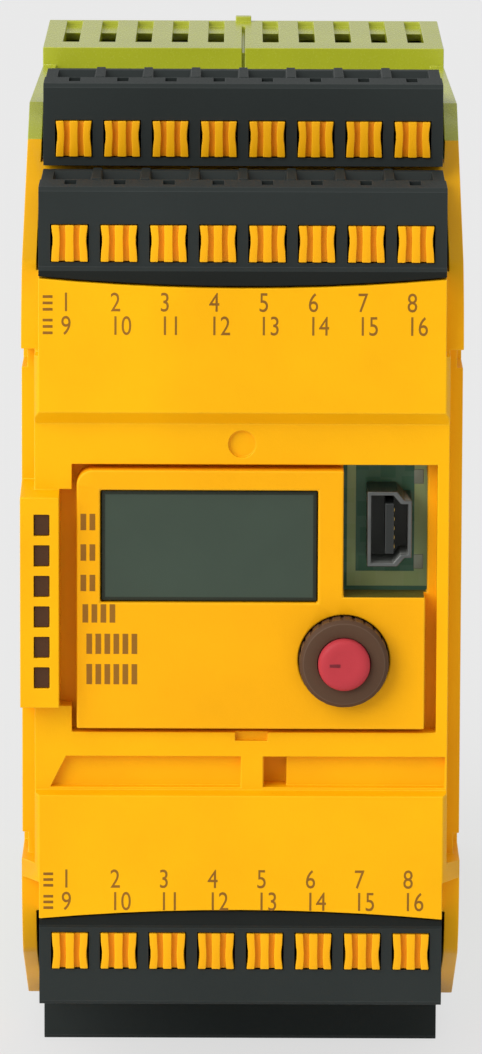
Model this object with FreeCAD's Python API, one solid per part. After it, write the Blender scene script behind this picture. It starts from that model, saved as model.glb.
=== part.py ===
import FreeCAD, Part
import math
import os

V = FreeCAD.Vector

# A rail-mounted safety controller. Millimetres, +Z up, +X right, the front faces -Y.
# The origin is at mid width and mid height, on the front plane of the mounting rail.

# Plug-in terminal blocks
POLES = 8
PITCH = 5.0
BLOCK_END = 0.65          # wall outside the first and last pole
BLOCK_LENGTH = 18.6       # body, from its front face to its rear face
BLOCK_HEIGHT = 8.0
BLOCK_CHAMFER = 0.4       # along the upper front edge
CREST_HEIGHT = 0.5        # raised strip along the front of the top
CREST_LENGTH = 6.6
POLE_RIB = 0.15           # height of the ribs between the wire entries
POLE_RIB_WIDTH = 0.9
POLE_RIB_START = 9.8      # behind the front face
LIP_SAG = 0.95            # arch of the lower front lip on the front rows
LIP_THICKNESS = 1.8
FOOT_HEIGHT = 0.53        # foot under the front rows
FOOT_PROUD = 0.35         # in front of the face
FOOT_RISE = 0.4           # its sloped top, up the face
TONGUE_LENGTH = 5.0       # plug that enters the pin header
TONGUE_LOW = 0.6
TONGUE_HIGH = 5.1
TONGUE_INSET = 1.25       # tongue is narrower than the body, each side

# Release levers
LEVER_SIZE = 3.7
LEVER_RISE = 2.8          # lever centre above the block's underside
LEVER_PROUD = 0.3
LEVER_HEAD = 2.6
LEVER_TRAVEL = 1.6
PRESSED_REACH = 13.4      # prong tips behind the block's front face, lever pressed in
PRONG_THICKNESS = 0.6
PRONG_RISE = 0.8          # underside of the prongs above the lever centre
GROOVE_WIDTH = 0.6
GROOVE_DEPTH = 0.5
GROOVE_OFFSET = 0.75      # groove centre from the lever centre

# Wire entry, clamp spring and contact bar of one pole
CHAMBER_DEPTH = 17.2
FUNNEL_TOP = (4.0, 7.0)   # across the pole, along the depth
FUNNEL_FOOT = (2.2, 2.4)
FUNNEL_TOP_CENTRE = 13.8  # behind the front face
FUNNEL_FOOT_CENTRE = 12.2
PROBE_SIZE = (1.2, 3.4)   # test opening in front of the wire entry
PROBE_CENTRE = 4.2
PROBE_DEPTH = 1.6
BAR_WIDTH = 1.6
BAR_THICKNESS = 0.6
BAR_FRONT = 10.2
SPRING_THICKNESS = 0.3
SPRING_WIDTH = 3.2
SPRING_LEG_DROP = 1.9     # clamping leg, from its bend to its tip

# Pin headers
PIN_SIZE = 1.0
PIN_ENGAGEMENT = 4.0
HEADER_WALL = 0.5
HEADER_SIDE_WALL = 0.8
HEADER_BACK = 3.0
TAIL_THICKNESS = 1.4

# Housing
WALL = 1.5
PANEL_DEPTH = 111.0       # rail plane to the label panel
FOOT_DEPTH = 5.0          # feet behind the rail plane
PANEL_HALF = 33.1         # label panel, half height
PANEL_THICKNESS = 1.7
ROW_SETBACK = 0.8         # front row of terminals behind the label panel
ROW_STEP = 19.0           # rear row behind the front row
RISER = 1.4
EAR_RISE = 5.07           # side walls above the floor of the rear row
EAR_SLOPE = 25.0          # degrees
EAR_DROP = 2.0            # fall of the side walls towards the ventilated part
EAR_SETBACK = 3.0         # front edge of the side walls behind the label panel
SHOULDER_SETBACK = 7.2
SHOULDER_TOP = 1.1        # where the slope starts, above the label panel's edge
SHOULDER_BOTTOM = 5.2     # the same below the lower edge
NOSE_DROP = 9.0
PARTING_SETBACK = 7.0     # joint between the housings, behind the riser
BEVEL = 1.85              # label panel inside the module width, each side
VENT_BLOCK = 24.1         # ventilated part, in front of the rail plane

# Ventilation: slots at the top and bottom, grooves behind the upper ones
VENTS_PER_SIDE = 5
VENT_PITCH = 4.1
VENT_WIDTH = 1.8
VENT_MIDDLE_GAP = 6.2
VENT_GROOVE = 0.6
VENT_FRONT_LAND = 6.0
VENT_HOLE = 14.7
VENT_RAKE = 2.0           # slope of the rear wall of a vent hole
VENT_REAR_LAND = 1.0
SEAM_WIDTH = 0.35
REAR_TAB = (1.8, 1.6, 0.6)  # small tab at the rear upper edge: width, length, height
REAR_SLOT = (1.6, 1.2)    # slots beside the tab: width, length

# Front features, as places on the front: x to the right, z up
MID_TOP = 18.1
MID_BOTTOM = -19.9
MID_DEPTH = 1.5           # middle zone behind the label panels
STEP_SLOPE = (1.35, 0.3)   # upper and lower step to the label panels
CONTROL_X = (-16.8, 18.7)
CONTROL_Z = (-13.35, 13.4)
CONTROL_PROUD = 0.8
CONTROL_GROOVE = (1.75, 1.2, 0.5)  # left, right, top and bottom
CONTROL_FLANGE = 1.2
FLANGE_OVERLAP = 0.5
CORNER_RADIUS = 1.6
DISPLAY_X = (-14.4, 7.76)
DISPLAY_Z = (-0.25, 11.35)
DISPLAY_SETBACK = 0.5
DISPLAY_GLASS = 1.1
SOCKET_X = (10.35, 18.95)
SOCKET_Z = (0.37, 13.8)
KNOB_PLACE = (10.45, -6.15)
BAR_X = -18.55            # inner edge of the indicator bar
BAR_Z = (-11.15, 11.3)
BAR_PROUD = 1.5           # indicator bar in front of the label panel
LED_COUNT = 6
LED_PITCH = 3.15
LED_TOP = 8.07
LED_X = -20.3
LED_WINDOW = (1.6, 2.2)
LED_RECESS = 0.3
TROUGH_Z = (-19.6, -16.4)
TROUGH_LEFT = (-19.5, 0.0)
TROUGH_RIGHT = (2.25, 20.9)
TROUGH_DEPTH = 1.1
TROUGH_SLANT = 1.6
POCKET_X = (2.3, 4.65)
POCKET_DEPTH = 3.4
POCKET_WALL = 0.8
PRY_X = (-0.6, 2.7)       # notch to pry the control panel out
PRY_HEIGHT = 0.9
PRY_DEPTH = 0.7
NOTCH_PLACE = (0.0, 16.0)
NOTCH_RADIUS = 1.4
NOTCH_DEPTH = 0.5
REBATE_Z = (-27.4, 25.5)
REBATE_WIDTH = 1.4
REBATE_DEPTH = 5.5
EDGE_NOTCH = 2.2
EDGE_NOTCH_DEPTH = 0.6
EDGE_NOTCH_REACH = 12.0
THICK_SIDE = 2.8          # side wall around the front board's seat
SEAT_DEPTH = 8.1          # seat of the front board behind the label panel
SNAP_Z = 0.0
SNAP_SIZE = (3.0, 10.0)   # along the depth, along the height
SNAP_SETBACK = 3.5
SNAP_THICKNESS = 1.3
SNAP_ROOT = 4.0

# Boards
BOARD = 1.6
FRONT_BOARD_Z = (-17.5, 16.5)
MAIN_BOARD_X = 12.0
TERMINAL_BOARD_LENGTH = 38.0
LEDGE = 1.1
LEDGE_HEIGHT = 1.3
POST_SIZE = 2.6
RELAY_SIZE = (8.0, 28.0, 12.0)
CHIP_SIZE = (1.6, 14.0, 14.0)

# Socket, knob and its encoder
SOCKET_PLACE = (15.05, 7.2)
SOCKET_SIZE = (4.55, 7.75)
SOCKET_STEP = (1.5, 0.9)  # narrower part: its width, its inset each end
SOCKET_SHELL = 0.4
SOCKET_HEIGHT = 6.4
TONGUE_PLATE = (0.9, 5.2)
SOCKET_FLOOR = 1.2
KNOB_DIAMETER = 9.15
KNOB_PROUD = 2.2          # knob ring in front of the control panel
KNOB_BEVEL = 0.4
KNOB_SKIRT = 1.7          # the part of the ring inside the panel
CAP_DIAMETER = 5.3
CAP_PROUD = 1.0
CAP_SEAT = 1.0
CAP_BEVEL = 0.5
SHAFT_DIAMETER = 4.0
SHAFT_TOP = 0.2           # below the cap
SHAFT_FLAT = 0.6
ENCODER_SIZE = 11.0
ENCODER_HEIGHT = 2.9
PLUNGER_SIZE = 2.6
PLUNGER_HEIGHT = 0.6
PUSH_TRAVEL = 0.5

# Rail seat and latch
RAIL_HEIGHT = 35.0
RAIL_THICKNESS = 1.0
RAIL_PLAY = 0.2
HOOK_REACH = 1.4
HOOK_THICKNESS = 1.8
REAR_WALL = 2.0
LATCH_FLANGE = (14.8, 1.4, 17.0)   # width, thickness, height
LATCH_NECK = 11.2
LATCH_TAB = 2.9           # pull tab below the housing
LATCH_SLOT = (4.0, 1.4)
LATCH_GUIDE = 1.5
SPRING_WIRE = 0.7
SPRING_RUNS = 5

# Clearances
FIT = 0.1                 # levers in their windows, glass in its window
SEAT_GAP = 0.2            # blocks on their floors, headers in their openings
SIDE_GAP = 0.35           # blocks between the side walls
STACK_GAP = 0.15          # rear blocks above the front blocks
SLIDE_GAP = 0.2           # latch in its guide, tongue in its header
TURN_GAP = 0.4            # knob in its hole
BOARD_GAP = 0.15          # boards in their slots

# Places that follow from the sizes above
BLOCK_WIDTH = POLES * PITCH + 2 * BLOCK_END
HALF_WIDTH = BLOCK_WIDTH / 2 + SIDE_GAP + WALL
INNER_HALF = HALF_WIDTH - WALL
PANEL_EDGE = HALF_WIDTH - BEVEL
PANEL_Y = -PANEL_DEPTH
FRONT_ROW_Y = PANEL_Y + ROW_SETBACK
REAR_ROW_Y = FRONT_ROW_Y + ROW_STEP
FRONT_ROW_Z = PANEL_HALF + SEAT_GAP + FOOT_HEIGHT
REAR_ROW_Z = FRONT_ROW_Z + BLOCK_HEIGHT + POLE_RIB + STACK_GAP
REAR_FLOOR_Z = REAR_ROW_Z - SEAT_GAP
HOUSING_HALF = REAR_FLOOR_Z + EAR_RISE
RISER_Y = FRONT_ROW_Y + BLOCK_LENGTH + SEAT_GAP
PARTING_Y = RISER_Y + RISER + PARTING_SETBACK
EAR_Y = PANEL_Y + EAR_SETBACK
SHOULDER_Y = PANEL_Y + SHOULDER_SETBACK
MID_Y = PANEL_Y + MID_DEPTH
MID_INNER_Y = MID_Y + 1.5 * PANEL_THICKNESS
CONTROL_Y = MID_Y - CONTROL_PROUD
SEAT_Y = PANEL_Y + SEAT_DEPTH
FRONT_BOARD_Y = SEAT_Y + SEAT_GAP
DISPLAY_Y = CONTROL_Y + DISPLAY_SETBACK
HEADER_FRONT = BLOCK_LENGTH + SEAT_GAP
HEADER_CAVITY = TONGUE_LENGTH + SLIDE_GAP
HEADER_LENGTH = HEADER_CAVITY + HEADER_BACK
HEADER_REAR = HEADER_FRONT + HEADER_LENGTH
HEADER_HALF = BLOCK_WIDTH / 2 - TONGUE_INSET + SLIDE_GAP + HEADER_SIDE_WALL
HEADER_Z = (TONGUE_LOW - SLIDE_GAP - HEADER_WALL, TONGUE_HIGH + SLIDE_GAP + HEADER_WALL)
CHAMBER_HALF = LEVER_SIZE / 2 + FIT
CHAMBER_LOW = LEVER_RISE - CHAMBER_HALF
CHAMBER_HIGH = LEVER_RISE + CHAMBER_HALF
BAR_LOW = CHAMBER_LOW + FIT / 2
BAR_HIGH = BAR_LOW + BAR_THICKNESS
PIN_LOW = BAR_HIGH + FIT
TERMINAL_BOARD_TOP = FRONT_ROW_Z + PIN_LOW - FIT / 2
TERMINAL_BOARD_Y = FRONT_ROW_Y + HEADER_REAR + SEAT_GAP
CAP_REAR_Y = CONTROL_Y - KNOB_PROUD + CAP_SEAT
RAIL_HALF = RAIL_HEIGHT / 2 + RAIL_PLAY
HOOK_Y = RAIL_THICKNESS + 1.5 * RAIL_PLAY


# Solids from plain profiles

def box(x, y, z):
    return Part.makeBox(x[1] - x[0], y[1] - y[0], z[1] - z[0], V(x[0], y[0], z[0]))


def about(middle, size):
    return (middle - size / 2, middle + size / 2)


def both(half):
    return (-half, half)


def polygon(points):
    return Part.Face(Part.makePolygon(points + points[:1]))


def prism_x(outline, x):
    face = polygon([V(x[0], y, z) for y, z in outline])
    return face.extrude(V(x[1] - x[0], 0, 0))


def prism_y(outline, y):
    face = polygon([V(x, y[0], z) for x, z in outline])
    return face.extrude(V(0, y[1] - y[0], 0))


def prism_z(outline, z):
    face = polygon([V(x, y, z[0]) for x, y in outline])
    return face.extrude(V(0, 0, z[1] - z[0]))


def cylinder_y(place, diameter, y):
    return Part.makeCylinder(diameter / 2, y[1] - y[0], V(place[0], y[0], place[1]), V(0, 1, 0))


def moved(shape, x=0.0, y=0.0, z=0.0):
    copy = shape.copy()
    copy.translate(V(x, y, z))
    return copy


def turned_over(shape):
    return shape.copy().rotate(V(0, 0, 0), V(0, 1, 0), 180)


def mirrored(shape, normal):
    return shape.mirror(V(0, 0, 0), normal)


def top_and_bottom(shape):
    return [shape, mirrored(shape, V(0, 0, 1))]


def left_and_right(shape):
    return [shape, mirrored(shape, V(1, 0, 0))]


def save(name, solids):
    shape = solids[0] if len(solids) == 1 else Part.makeCompound(solids)
    shape.exportStep("parts/" + name + ".step")


# Terminal blocks: one moulding with a lever window, a wire funnel and a contact hole for each pole

def pole_places():
    return [(pole - (POLES - 1) / 2) * PITCH for pole in range(POLES)]


def funnel():
    foot_x = both(FUNNEL_FOOT[0] / 2)
    foot_y = about(FUNNEL_FOOT_CENTRE, FUNNEL_FOOT[1])
    top_x = both(FUNNEL_TOP[0] / 2)
    top_y = about(FUNNEL_TOP_CENTRE, FUNNEL_TOP[1])
    low = CHAMBER_HIGH - FIT
    top = BLOCK_HEIGHT + FIT
    wedge = Part.makeWedge(
        foot_x[0], low, -foot_y[1], -top_y[1], top_x[0], foot_x[1], top, -foot_y[0], -top_y[0], top_x[1]
    )
    return wedge.rotate(V(0, 0, 0), V(1, 0, 0), 90)


def lip(sag_line):
    half = BLOCK_WIDTH / 2
    chord = Part.LineSegment(V(half, 0, sag_line), V(-half, 0, sag_line)).toShape()
    arch = Part.Arc(V(-half, 0, sag_line), V(0, 0, sag_line - LIP_SAG), V(half, 0, sag_line)).toShape()
    return Part.Face(Part.Wire([chord, arch]))


def terminal_block(front_row):
    crest = BLOCK_HEIGHT + CREST_HEIGHT
    side = [
        (0, 0),
        (BLOCK_LENGTH, 0),
        (BLOCK_LENGTH, BLOCK_HEIGHT),
        (CREST_LENGTH, BLOCK_HEIGHT),
        (CREST_LENGTH - CREST_HEIGHT, crest),
        (BLOCK_CHAMFER, crest),
        (0, crest - BLOCK_CHAMFER),
    ]
    block = prism_x(side, both(BLOCK_WIDTH / 2))
    tongue_half = BLOCK_WIDTH / 2 - TONGUE_INSET
    tongue_end = BLOCK_LENGTH + TONGUE_LENGTH
    added = [box(both(tongue_half), (BLOCK_LENGTH - FIT, tongue_end), (TONGUE_LOW, TONGUE_HIGH))]
    rib_y = (POLE_RIB_START, BLOCK_LENGTH)
    rib_z = (BLOCK_HEIGHT - FIT, BLOCK_HEIGHT + POLE_RIB)
    for x in pole_places()[1:]:
        added.append(box(about(x - PITCH / 2, POLE_RIB_WIDTH), rib_y, rib_z))
    if front_row:
        foot = [
            (0, FOOT_RISE),
            (-FOOT_PROUD, 0),
            (-FOOT_PROUD, -FOOT_HEIGHT),
            (BLOCK_LENGTH, -FOOT_HEIGHT),
            (BLOCK_LENGTH, FOOT_RISE),
        ]
        added.append(prism_x(foot, both(BLOCK_WIDTH / 2)))
        added.append(moved(lip(-FOOT_HEIGHT), 0, -FOOT_PROUD).extrude(V(0, LIP_THICKNESS, 0)))
    block = block.fuse(added).removeSplitter()

    chamber = box(both(CHAMBER_HALF), (-WALL, CHAMBER_DEPTH), (CHAMBER_LOW, CHAMBER_HIGH))
    hole_half = BAR_WIDTH / 2 + FIT
    hole_z = (CHAMBER_LOW, PIN_LOW + PIN_SIZE + SLIDE_GAP)
    contact = box(both(hole_half), (CHAMBER_DEPTH - WALL, tongue_end + WALL), hole_z)
    probe_z = (BLOCK_HEIGHT - PROBE_DEPTH, BLOCK_HEIGHT + WALL)
    probe = box(both(PROBE_SIZE[0] / 2), about(PROBE_CENTRE, PROBE_SIZE[1]), probe_z)
    cuts = []
    for x in pole_places():
        cuts += [moved(cut, x) for cut in (chamber, funnel(), contact, probe)]
    return block.cut(cuts)


# Release lever: a grooved head and two prongs that reach past the contact bar to the spring

def lever():
    half = LEVER_SIZE / 2
    front = -LEVER_PROUD
    rear = PRESSED_REACH - LEVER_TRAVEL
    floor = front + GROOVE_DEPTH
    inner = GROOVE_OFFSET - GROOVE_WIDTH / 2
    outer = GROOVE_OFFSET + GROOVE_WIDTH / 2
    fork = half - PRONG_THICKNESS
    head = front + LEVER_HEAD
    right = [
        (inner, front),
        (inner, floor),
        (outer, floor),
        (outer, front),
        (half, front),
        (half, rear),
        (fork, rear),
        (fork, head),
    ]
    left = [(-x, y) for x, y in reversed(right)]
    body = prism_z(right + left, about(LEVER_RISE, LEVER_SIZE))
    under = box(both(LEVER_SIZE), (head, rear + WALL), (0, LEVER_RISE + PRONG_RISE))
    return body.cut(under)


# Clamp of one pole: the contact bar stands in front of the wire, the spring presses from behind

def contact_bar():
    end = BLOCK_LENGTH + TONGUE_LENGTH - WALL
    outline = [
        (BAR_FRONT, BAR_LOW),
        (end, BAR_LOW),
        (end, BAR_HIGH),
        (BAR_FRONT + BAR_THICKNESS, BAR_HIGH),
        (BAR_FRONT + BAR_THICKNESS, CHAMBER_HIGH - FIT),
        (BAR_FRONT, CHAMBER_HIGH - FIT),
    ]
    return prism_x(outline, both(BAR_WIDTH / 2))


def clamp_spring():
    back = CHAMBER_DEPTH - FIT
    tip = BAR_FRONT + BAR_THICKNESS + FIT
    bend = CHAMBER_HIGH - 4 * FIT
    outline = [
        (back - SPRING_THICKNESS, BAR_HIGH),
        (back, BAR_HIGH),
        (back, bend),
        (tip, bend - SPRING_LEG_DROP),
        (tip, bend - SPRING_LEG_DROP - SPRING_THICKNESS),
        (back - SPRING_THICKNESS, bend - 1.3 * SPRING_THICKNESS),
    ]
    return prism_x(outline, both(SPRING_WIDTH / 2))


# Pin headers: a shroud moulded round square pins; on the rear rows a comb takes the tails to the board

def header_pin():
    start = HEADER_FRONT + HEADER_CAVITY - PIN_ENGAGEMENT
    end = HEADER_FRONT + HEADER_CAVITY + FIT
    return box(both(PIN_SIZE / 2), (start, end), (PIN_LOW, PIN_LOW + PIN_SIZE))


def pin_header(rear_row):
    shroud = box(both(HEADER_HALF), (HEADER_FRONT, HEADER_REAR), HEADER_Z)
    cavity_half = HEADER_HALF - HEADER_SIDE_WALL
    cavity_y = (HEADER_FRONT - WALL, HEADER_FRONT + HEADER_CAVITY)
    cavity_z = (HEADER_Z[0] + HEADER_WALL, HEADER_Z[1] - HEADER_WALL)
    shroud = shroud.cut(box(both(cavity_half), cavity_y, cavity_z))
    added = [moved(header_pin(), x) for x in pole_places()]
    if rear_row:
        board_top = TERMINAL_BOARD_TOP + FIT / 2 - REAR_ROW_Z
        tail_y = (HEADER_REAR - TAIL_THICKNESS, HEADER_REAR)
        added.append(box(both(tail_half()), tail_y, (board_top, HEADER_Z[0] + HEADER_WALL)))
    return shroud.fuse(added).removeSplitter()


def tail_half():
    return (POLES - 1) / 2 * PITCH + PIN_SIZE


# Housing outline seen from the side: both housings are cut from it at the parting plane

def side_outline():
    edges = []
    rise = math.tan(math.radians(EAR_SLOPE))
    top_z = PANEL_HALF + SHOULDER_TOP
    low_z = -PANEL_HALF - SHOULDER_BOTTOM
    top_end = SHOULDER_Y + (HOUSING_HALF - top_z) / rise
    low_end = SHOULDER_Y + (HOUSING_HALF + low_z) / rise
    top_nose = V(0, EAR_Y, top_z - NOSE_DROP)
    low_nose = V(0, EAR_Y, low_z + NOSE_DROP)
    top_shoulder = V(0, SHOULDER_Y, top_z)
    low_shoulder = V(0, SHOULDER_Y, low_z)
    bulge_y = EAR_Y + (SHOULDER_Y - EAR_Y) / 4
    corners = [
        low_shoulder,
        V(0, low_end, -HOUSING_HALF),
        V(0, FOOT_DEPTH, -HOUSING_HALF),
        V(0, FOOT_DEPTH, HOUSING_HALF),
        V(0, -VENT_BLOCK, HOUSING_HALF),
        V(0, -VENT_BLOCK, HOUSING_HALF - EAR_DROP),
        V(0, top_end, HOUSING_HALF),
        top_shoulder,
    ]
    for start, end in zip(corners, corners[1:]):
        edges.append(Part.LineSegment(start, end).toShape())
    top_bulge = V(0, bulge_y, top_z - NOSE_DROP / 2)
    low_bulge = V(0, bulge_y, low_z + NOSE_DROP / 2)
    edges.append(Part.Arc(top_shoulder, top_bulge, top_nose).toShape())
    edges.append(Part.LineSegment(top_nose, low_nose).toShape())
    edges.append(Part.Arc(low_nose, low_bulge, low_shoulder).toShape())
    return Part.Face(Part.Wire(edges))


def envelope():
    solid = side_outline().extrude(V(2 * HALF_WIDTH, 0, 0))
    return moved(solid, -HALF_WIDTH)


# Front housing: label panels, terminal bays, middle zone, indicator bar

def bay_cuts():
    beyond = HOUSING_HALF + WALL
    ahead = PANEL_Y - WALL
    front_bay = box(both(INNER_HALF), (ahead, RISER_Y), (PANEL_HALF, beyond))
    rear_bay = box(both(INNER_HALF), (RISER_Y - WALL, PARTING_Y + WALL), (REAR_FLOOR_Z, beyond))
    lip_end = FRONT_ROW_Y - FOOT_PROUD + LIP_THICKNESS + SEAT_GAP
    arch = moved(lip(PANEL_HALF), 0, ahead).extrude(V(0, lip_end - ahead, 0))
    opening_z = (FRONT_ROW_Z + HEADER_Z[0] - SEAT_GAP, FRONT_ROW_Z + HEADER_Z[1] + SEAT_GAP)
    opening_y = (RISER_Y - WALL, RISER_Y + RISER + WALL)
    opening = box(both(HEADER_HALF + SEAT_GAP), opening_y, opening_z)
    cuts = []
    for cut in (front_bay, rear_bay, arch, opening):
        cuts += top_and_bottom(cut)
    return cuts


def front_cavity():
    lower = PANEL_HALF - LIP_SAG - WALL
    wide_half = REAR_FLOOR_Z - WALL
    thin_half = HALF_WIDTH - THICK_SIDE
    riser_rear = RISER_Y + RISER
    behind = PARTING_Y + WALL
    seat = (PANEL_Y + PANEL_THICKNESS, SEAT_Y)
    middle = (MID_BOTTOM - WALL, MID_TOP + WALL)
    return [
        box(both(thin_half), seat, (MID_TOP + WALL, lower)),
        box(both(thin_half), seat, (-lower, MID_BOTTOM - WALL)),
        box(both(thin_half), (MID_INNER_Y, SEAT_Y + FIT), middle),
        box(both(INNER_HALF), (SEAT_Y, riser_rear + FIT), both(lower)),
        box(both(INNER_HALF), (riser_rear, behind), both(wide_half)),
    ]


def middle_zone_cut():
    outline = [
        (PANEL_Y - WALL, MID_TOP + STEP_SLOPE[0] * (WALL + MID_DEPTH) / MID_DEPTH),
        (MID_Y, MID_TOP),
        (MID_Y, MID_BOTTOM),
        (PANEL_Y - WALL, MID_BOTTOM - STEP_SLOPE[1] * (WALL + MID_DEPTH) / MID_DEPTH),
    ]
    return prism_x(outline, both(HALF_WIDTH + WALL))


def trough_cuts():
    y = (PANEL_Y, MID_Y + TROUGH_DEPTH)
    left = [
        (TROUGH_LEFT[0] + TROUGH_SLANT, TROUGH_Z[1]),
        (TROUGH_LEFT[1], TROUGH_Z[1]),
        (TROUGH_LEFT[1], TROUGH_Z[0]),
        (TROUGH_LEFT[0], TROUGH_Z[0]),
    ]
    pocket = box(POCKET_X, (PANEL_Y, MID_Y + POCKET_DEPTH), TROUGH_Z)
    return [prism_y(left, y), box(TROUGH_RIGHT, y, TROUGH_Z), pocket]


def pocket_cup():
    x = (POCKET_X[0] - POCKET_WALL, POCKET_X[1] + POCKET_WALL)
    y = (MID_INNER_Y - FIT, MID_Y + POCKET_DEPTH + POCKET_WALL)
    z = (TROUGH_Z[0] - POCKET_WALL, TROUGH_Z[1] + POCKET_WALL)
    return box(x, y, z)


def control_opening():
    left, right, edge = CONTROL_GROOVE
    x = (CONTROL_X[0] - left, CONTROL_X[1] + right)
    z = (CONTROL_Z[0] - edge, CONTROL_Z[1] + edge)
    return x, z


def control_flange():
    opening_x, opening_z = control_opening()
    x = (opening_x[0] - FLANGE_OVERLAP, opening_x[1] + FLANGE_OVERLAP)
    z = (opening_z[0] - FLANGE_OVERLAP, opening_z[1] + FLANGE_OVERLAP)
    return x, z


def flange_pocket():
    x, z = control_flange()
    return box((x[0] - FIT, x[1] + FIT), (MID_INNER_Y, SEAT_Y + FIT), (z[0] - FIT, z[1] + FIT))


def side_cuts():
    rebate_x = (HALF_WIDTH - REBATE_WIDTH, HALF_WIDTH + WALL)
    rebate = box(rebate_x, (PANEL_Y - WALL, PANEL_Y + REBATE_DEPTH), REBATE_Z)
    notch_x = (HALF_WIDTH - EDGE_NOTCH_DEPTH, HALF_WIDTH + WALL)
    notch_y = (PANEL_Y - WALL, PANEL_Y + EDGE_NOTCH_REACH)
    upper = box(notch_x, notch_y, (REBATE_Z[1] - EDGE_NOTCH, REBATE_Z[1]))
    lower = box(notch_x, notch_y, (REBATE_Z[0], REBATE_Z[0] + EDGE_NOTCH))
    cuts = []
    for cut in (rebate, upper, lower):
        cuts += left_and_right(cut)
    return cuts


def side_bevels():
    z = (-PANEL_HALF - SHOULDER_BOTTOM + NOSE_DROP, PANEL_HALF + SHOULDER_TOP - NOSE_DROP)
    wedge = [(PANEL_EDGE, PANEL_Y), (HALF_WIDTH, EAR_Y), (PANEL_EDGE, EAR_Y)]
    return left_and_right(prism_z(wedge, z))


def indicator_bar():
    x = (-HALF_WIDTH, BAR_X)
    front = PANEL_Y - BAR_PROUD
    draft = BAR_PROUD / 4
    outline = [
        (PANEL_Y + REBATE_DEPTH + FIT, BAR_Z[0] - draft),
        (front, BAR_Z[0] + draft),
        (front, BAR_Z[1] - draft),
        (PANEL_Y + REBATE_DEPTH + FIT, BAR_Z[1] + draft),
    ]
    return prism_x(outline, x)


def led_places():
    return [LED_TOP - LED_PITCH * led for led in range(LED_COUNT)]


def snap_tongues():
    x = (INNER_HALF - SEAT_GAP - SNAP_THICKNESS, INNER_HALF - SEAT_GAP)
    end = PARTING_Y + SNAP_SETBACK + SNAP_SIZE[0]
    tongue = box(x, (PARTING_Y - SNAP_ROOT, end), about(SNAP_Z, SNAP_SIZE[1]))
    root_x = (x[0], INNER_HALF + FIT)
    root = box(root_x, (PARTING_Y - SNAP_ROOT, PARTING_Y - SEAT_GAP), about(SNAP_Z, SNAP_SIZE[1]))
    hook_outline = [
        (x[1] - FIT, PARTING_Y + SNAP_SETBACK),
        (HALF_WIDTH - 2 * SEAT_GAP, PARTING_Y + SNAP_SETBACK),
        (x[1] - FIT, end),
    ]
    hook = prism_z(hook_outline, about(SNAP_Z, SNAP_SIZE[1]))
    solids = []
    for solid in (tongue, root, hook):
        solids += left_and_right(solid)
    return solids


def front_housing():
    front_part = box(both(HALF_WIDTH + WALL), (PANEL_Y - WALL, PARTING_Y), both(HOUSING_HALF + WALL))
    body = envelope().common(front_part)
    centre = box(both(PANEL_EDGE), (PANEL_Y, RISER_Y), both(PANEL_HALF))
    body = body.fuse([centre] + side_bevels()).removeSplitter()
    body = body.cut(bay_cuts())
    body = body.cut(front_cavity()).fuse(pocket_cup())
    body = body.cut([middle_zone_cut()] + trough_cuts() + side_cuts())
    body = body.fuse([indicator_bar()] + snap_tongues()).removeSplitter()
    opening_x, opening_z = control_opening()
    pad_left = CONTROL_X[0] - CONTROL_GROOVE[2]
    notch_y = (MID_Y - MID_DEPTH, MID_Y + NOTCH_DEPTH)
    pry_z = (opening_z[0] - PRY_HEIGHT, opening_z[0] + FIT)
    cuts = [
        box((pad_left, opening_x[1]), (PANEL_Y, SEAT_Y), opening_z),
        box((opening_x[0], pad_left + FIT), (PANEL_Y, SEAT_Y), BAR_Z),
        box(PRY_X, (PANEL_Y, MID_Y + PRY_DEPTH), pry_z),
        flange_pocket(),
        cylinder_y(NOTCH_PLACE, 2 * NOTCH_RADIUS, notch_y),
    ]
    window_y = (PANEL_Y - 2 * BAR_PROUD, SEAT_Y + WALL)
    for z in led_places():
        cuts.append(box(about(LED_X, LED_WINDOW[0]), window_y, about(z, LED_WINDOW[1])))
    return body.cut(cuts)


# Control panel: a raised pad through the opening, on a flange that bears on the back of the front wall

def control_panel():
    pad = box(CONTROL_X, (CONTROL_Y, MID_INNER_Y + CONTROL_FLANGE), CONTROL_Z)
    corner = [
        edge
        for edge in pad.Edges
        if abs(edge.CenterOfMass.x - CONTROL_X[0]) < FIT and abs(edge.CenterOfMass.z - CONTROL_Z[1]) < FIT
    ]
    pad = pad.makeFillet(CORNER_RADIUS, corner)
    flange_x, flange_z = control_flange()
    flange = box(flange_x, (MID_INNER_Y, MID_INNER_Y + CONTROL_FLANGE), flange_z)
    posts = []
    for x in (flange_x[0] + POST_SIZE, flange_x[1] - POST_SIZE / 2):
        for z in (flange_z[0] + POST_SIZE / 2, flange_z[1] - POST_SIZE / 2):
            posts.append(box(about(x, POST_SIZE), (MID_INNER_Y, FRONT_BOARD_Y), about(z, POST_SIZE)))
    body = pad.fuse([flange] + posts).removeSplitter()
    through = (CONTROL_Y - WALL, FRONT_BOARD_Y + FIT)
    pad_corner_x = (SOCKET_X[0], CONTROL_X[1] + FIT)
    pad_corner_z = (SOCKET_Z[0], CONTROL_Z[1] + FIT)
    pad_corner = box(pad_corner_x, (CONTROL_Y - WALL, MID_INNER_Y), pad_corner_z)
    cuts = [
        box(DISPLAY_X, through, DISPLAY_Z),
        box(SOCKET_X, through, SOCKET_Z),
        pad_corner,
        cylinder_y(KNOB_PLACE, KNOB_DIAMETER + 2 * TURN_GAP, through),
    ]
    return body.cut(cuts)


def display_glass():
    x = (DISPLAY_X[0] + FIT, DISPLAY_X[1] - FIT)
    z = (DISPLAY_Z[0] + FIT, DISPLAY_Z[1] - FIT)
    return box(x, (DISPLAY_Y, DISPLAY_Y + DISPLAY_GLASS), z)


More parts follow.
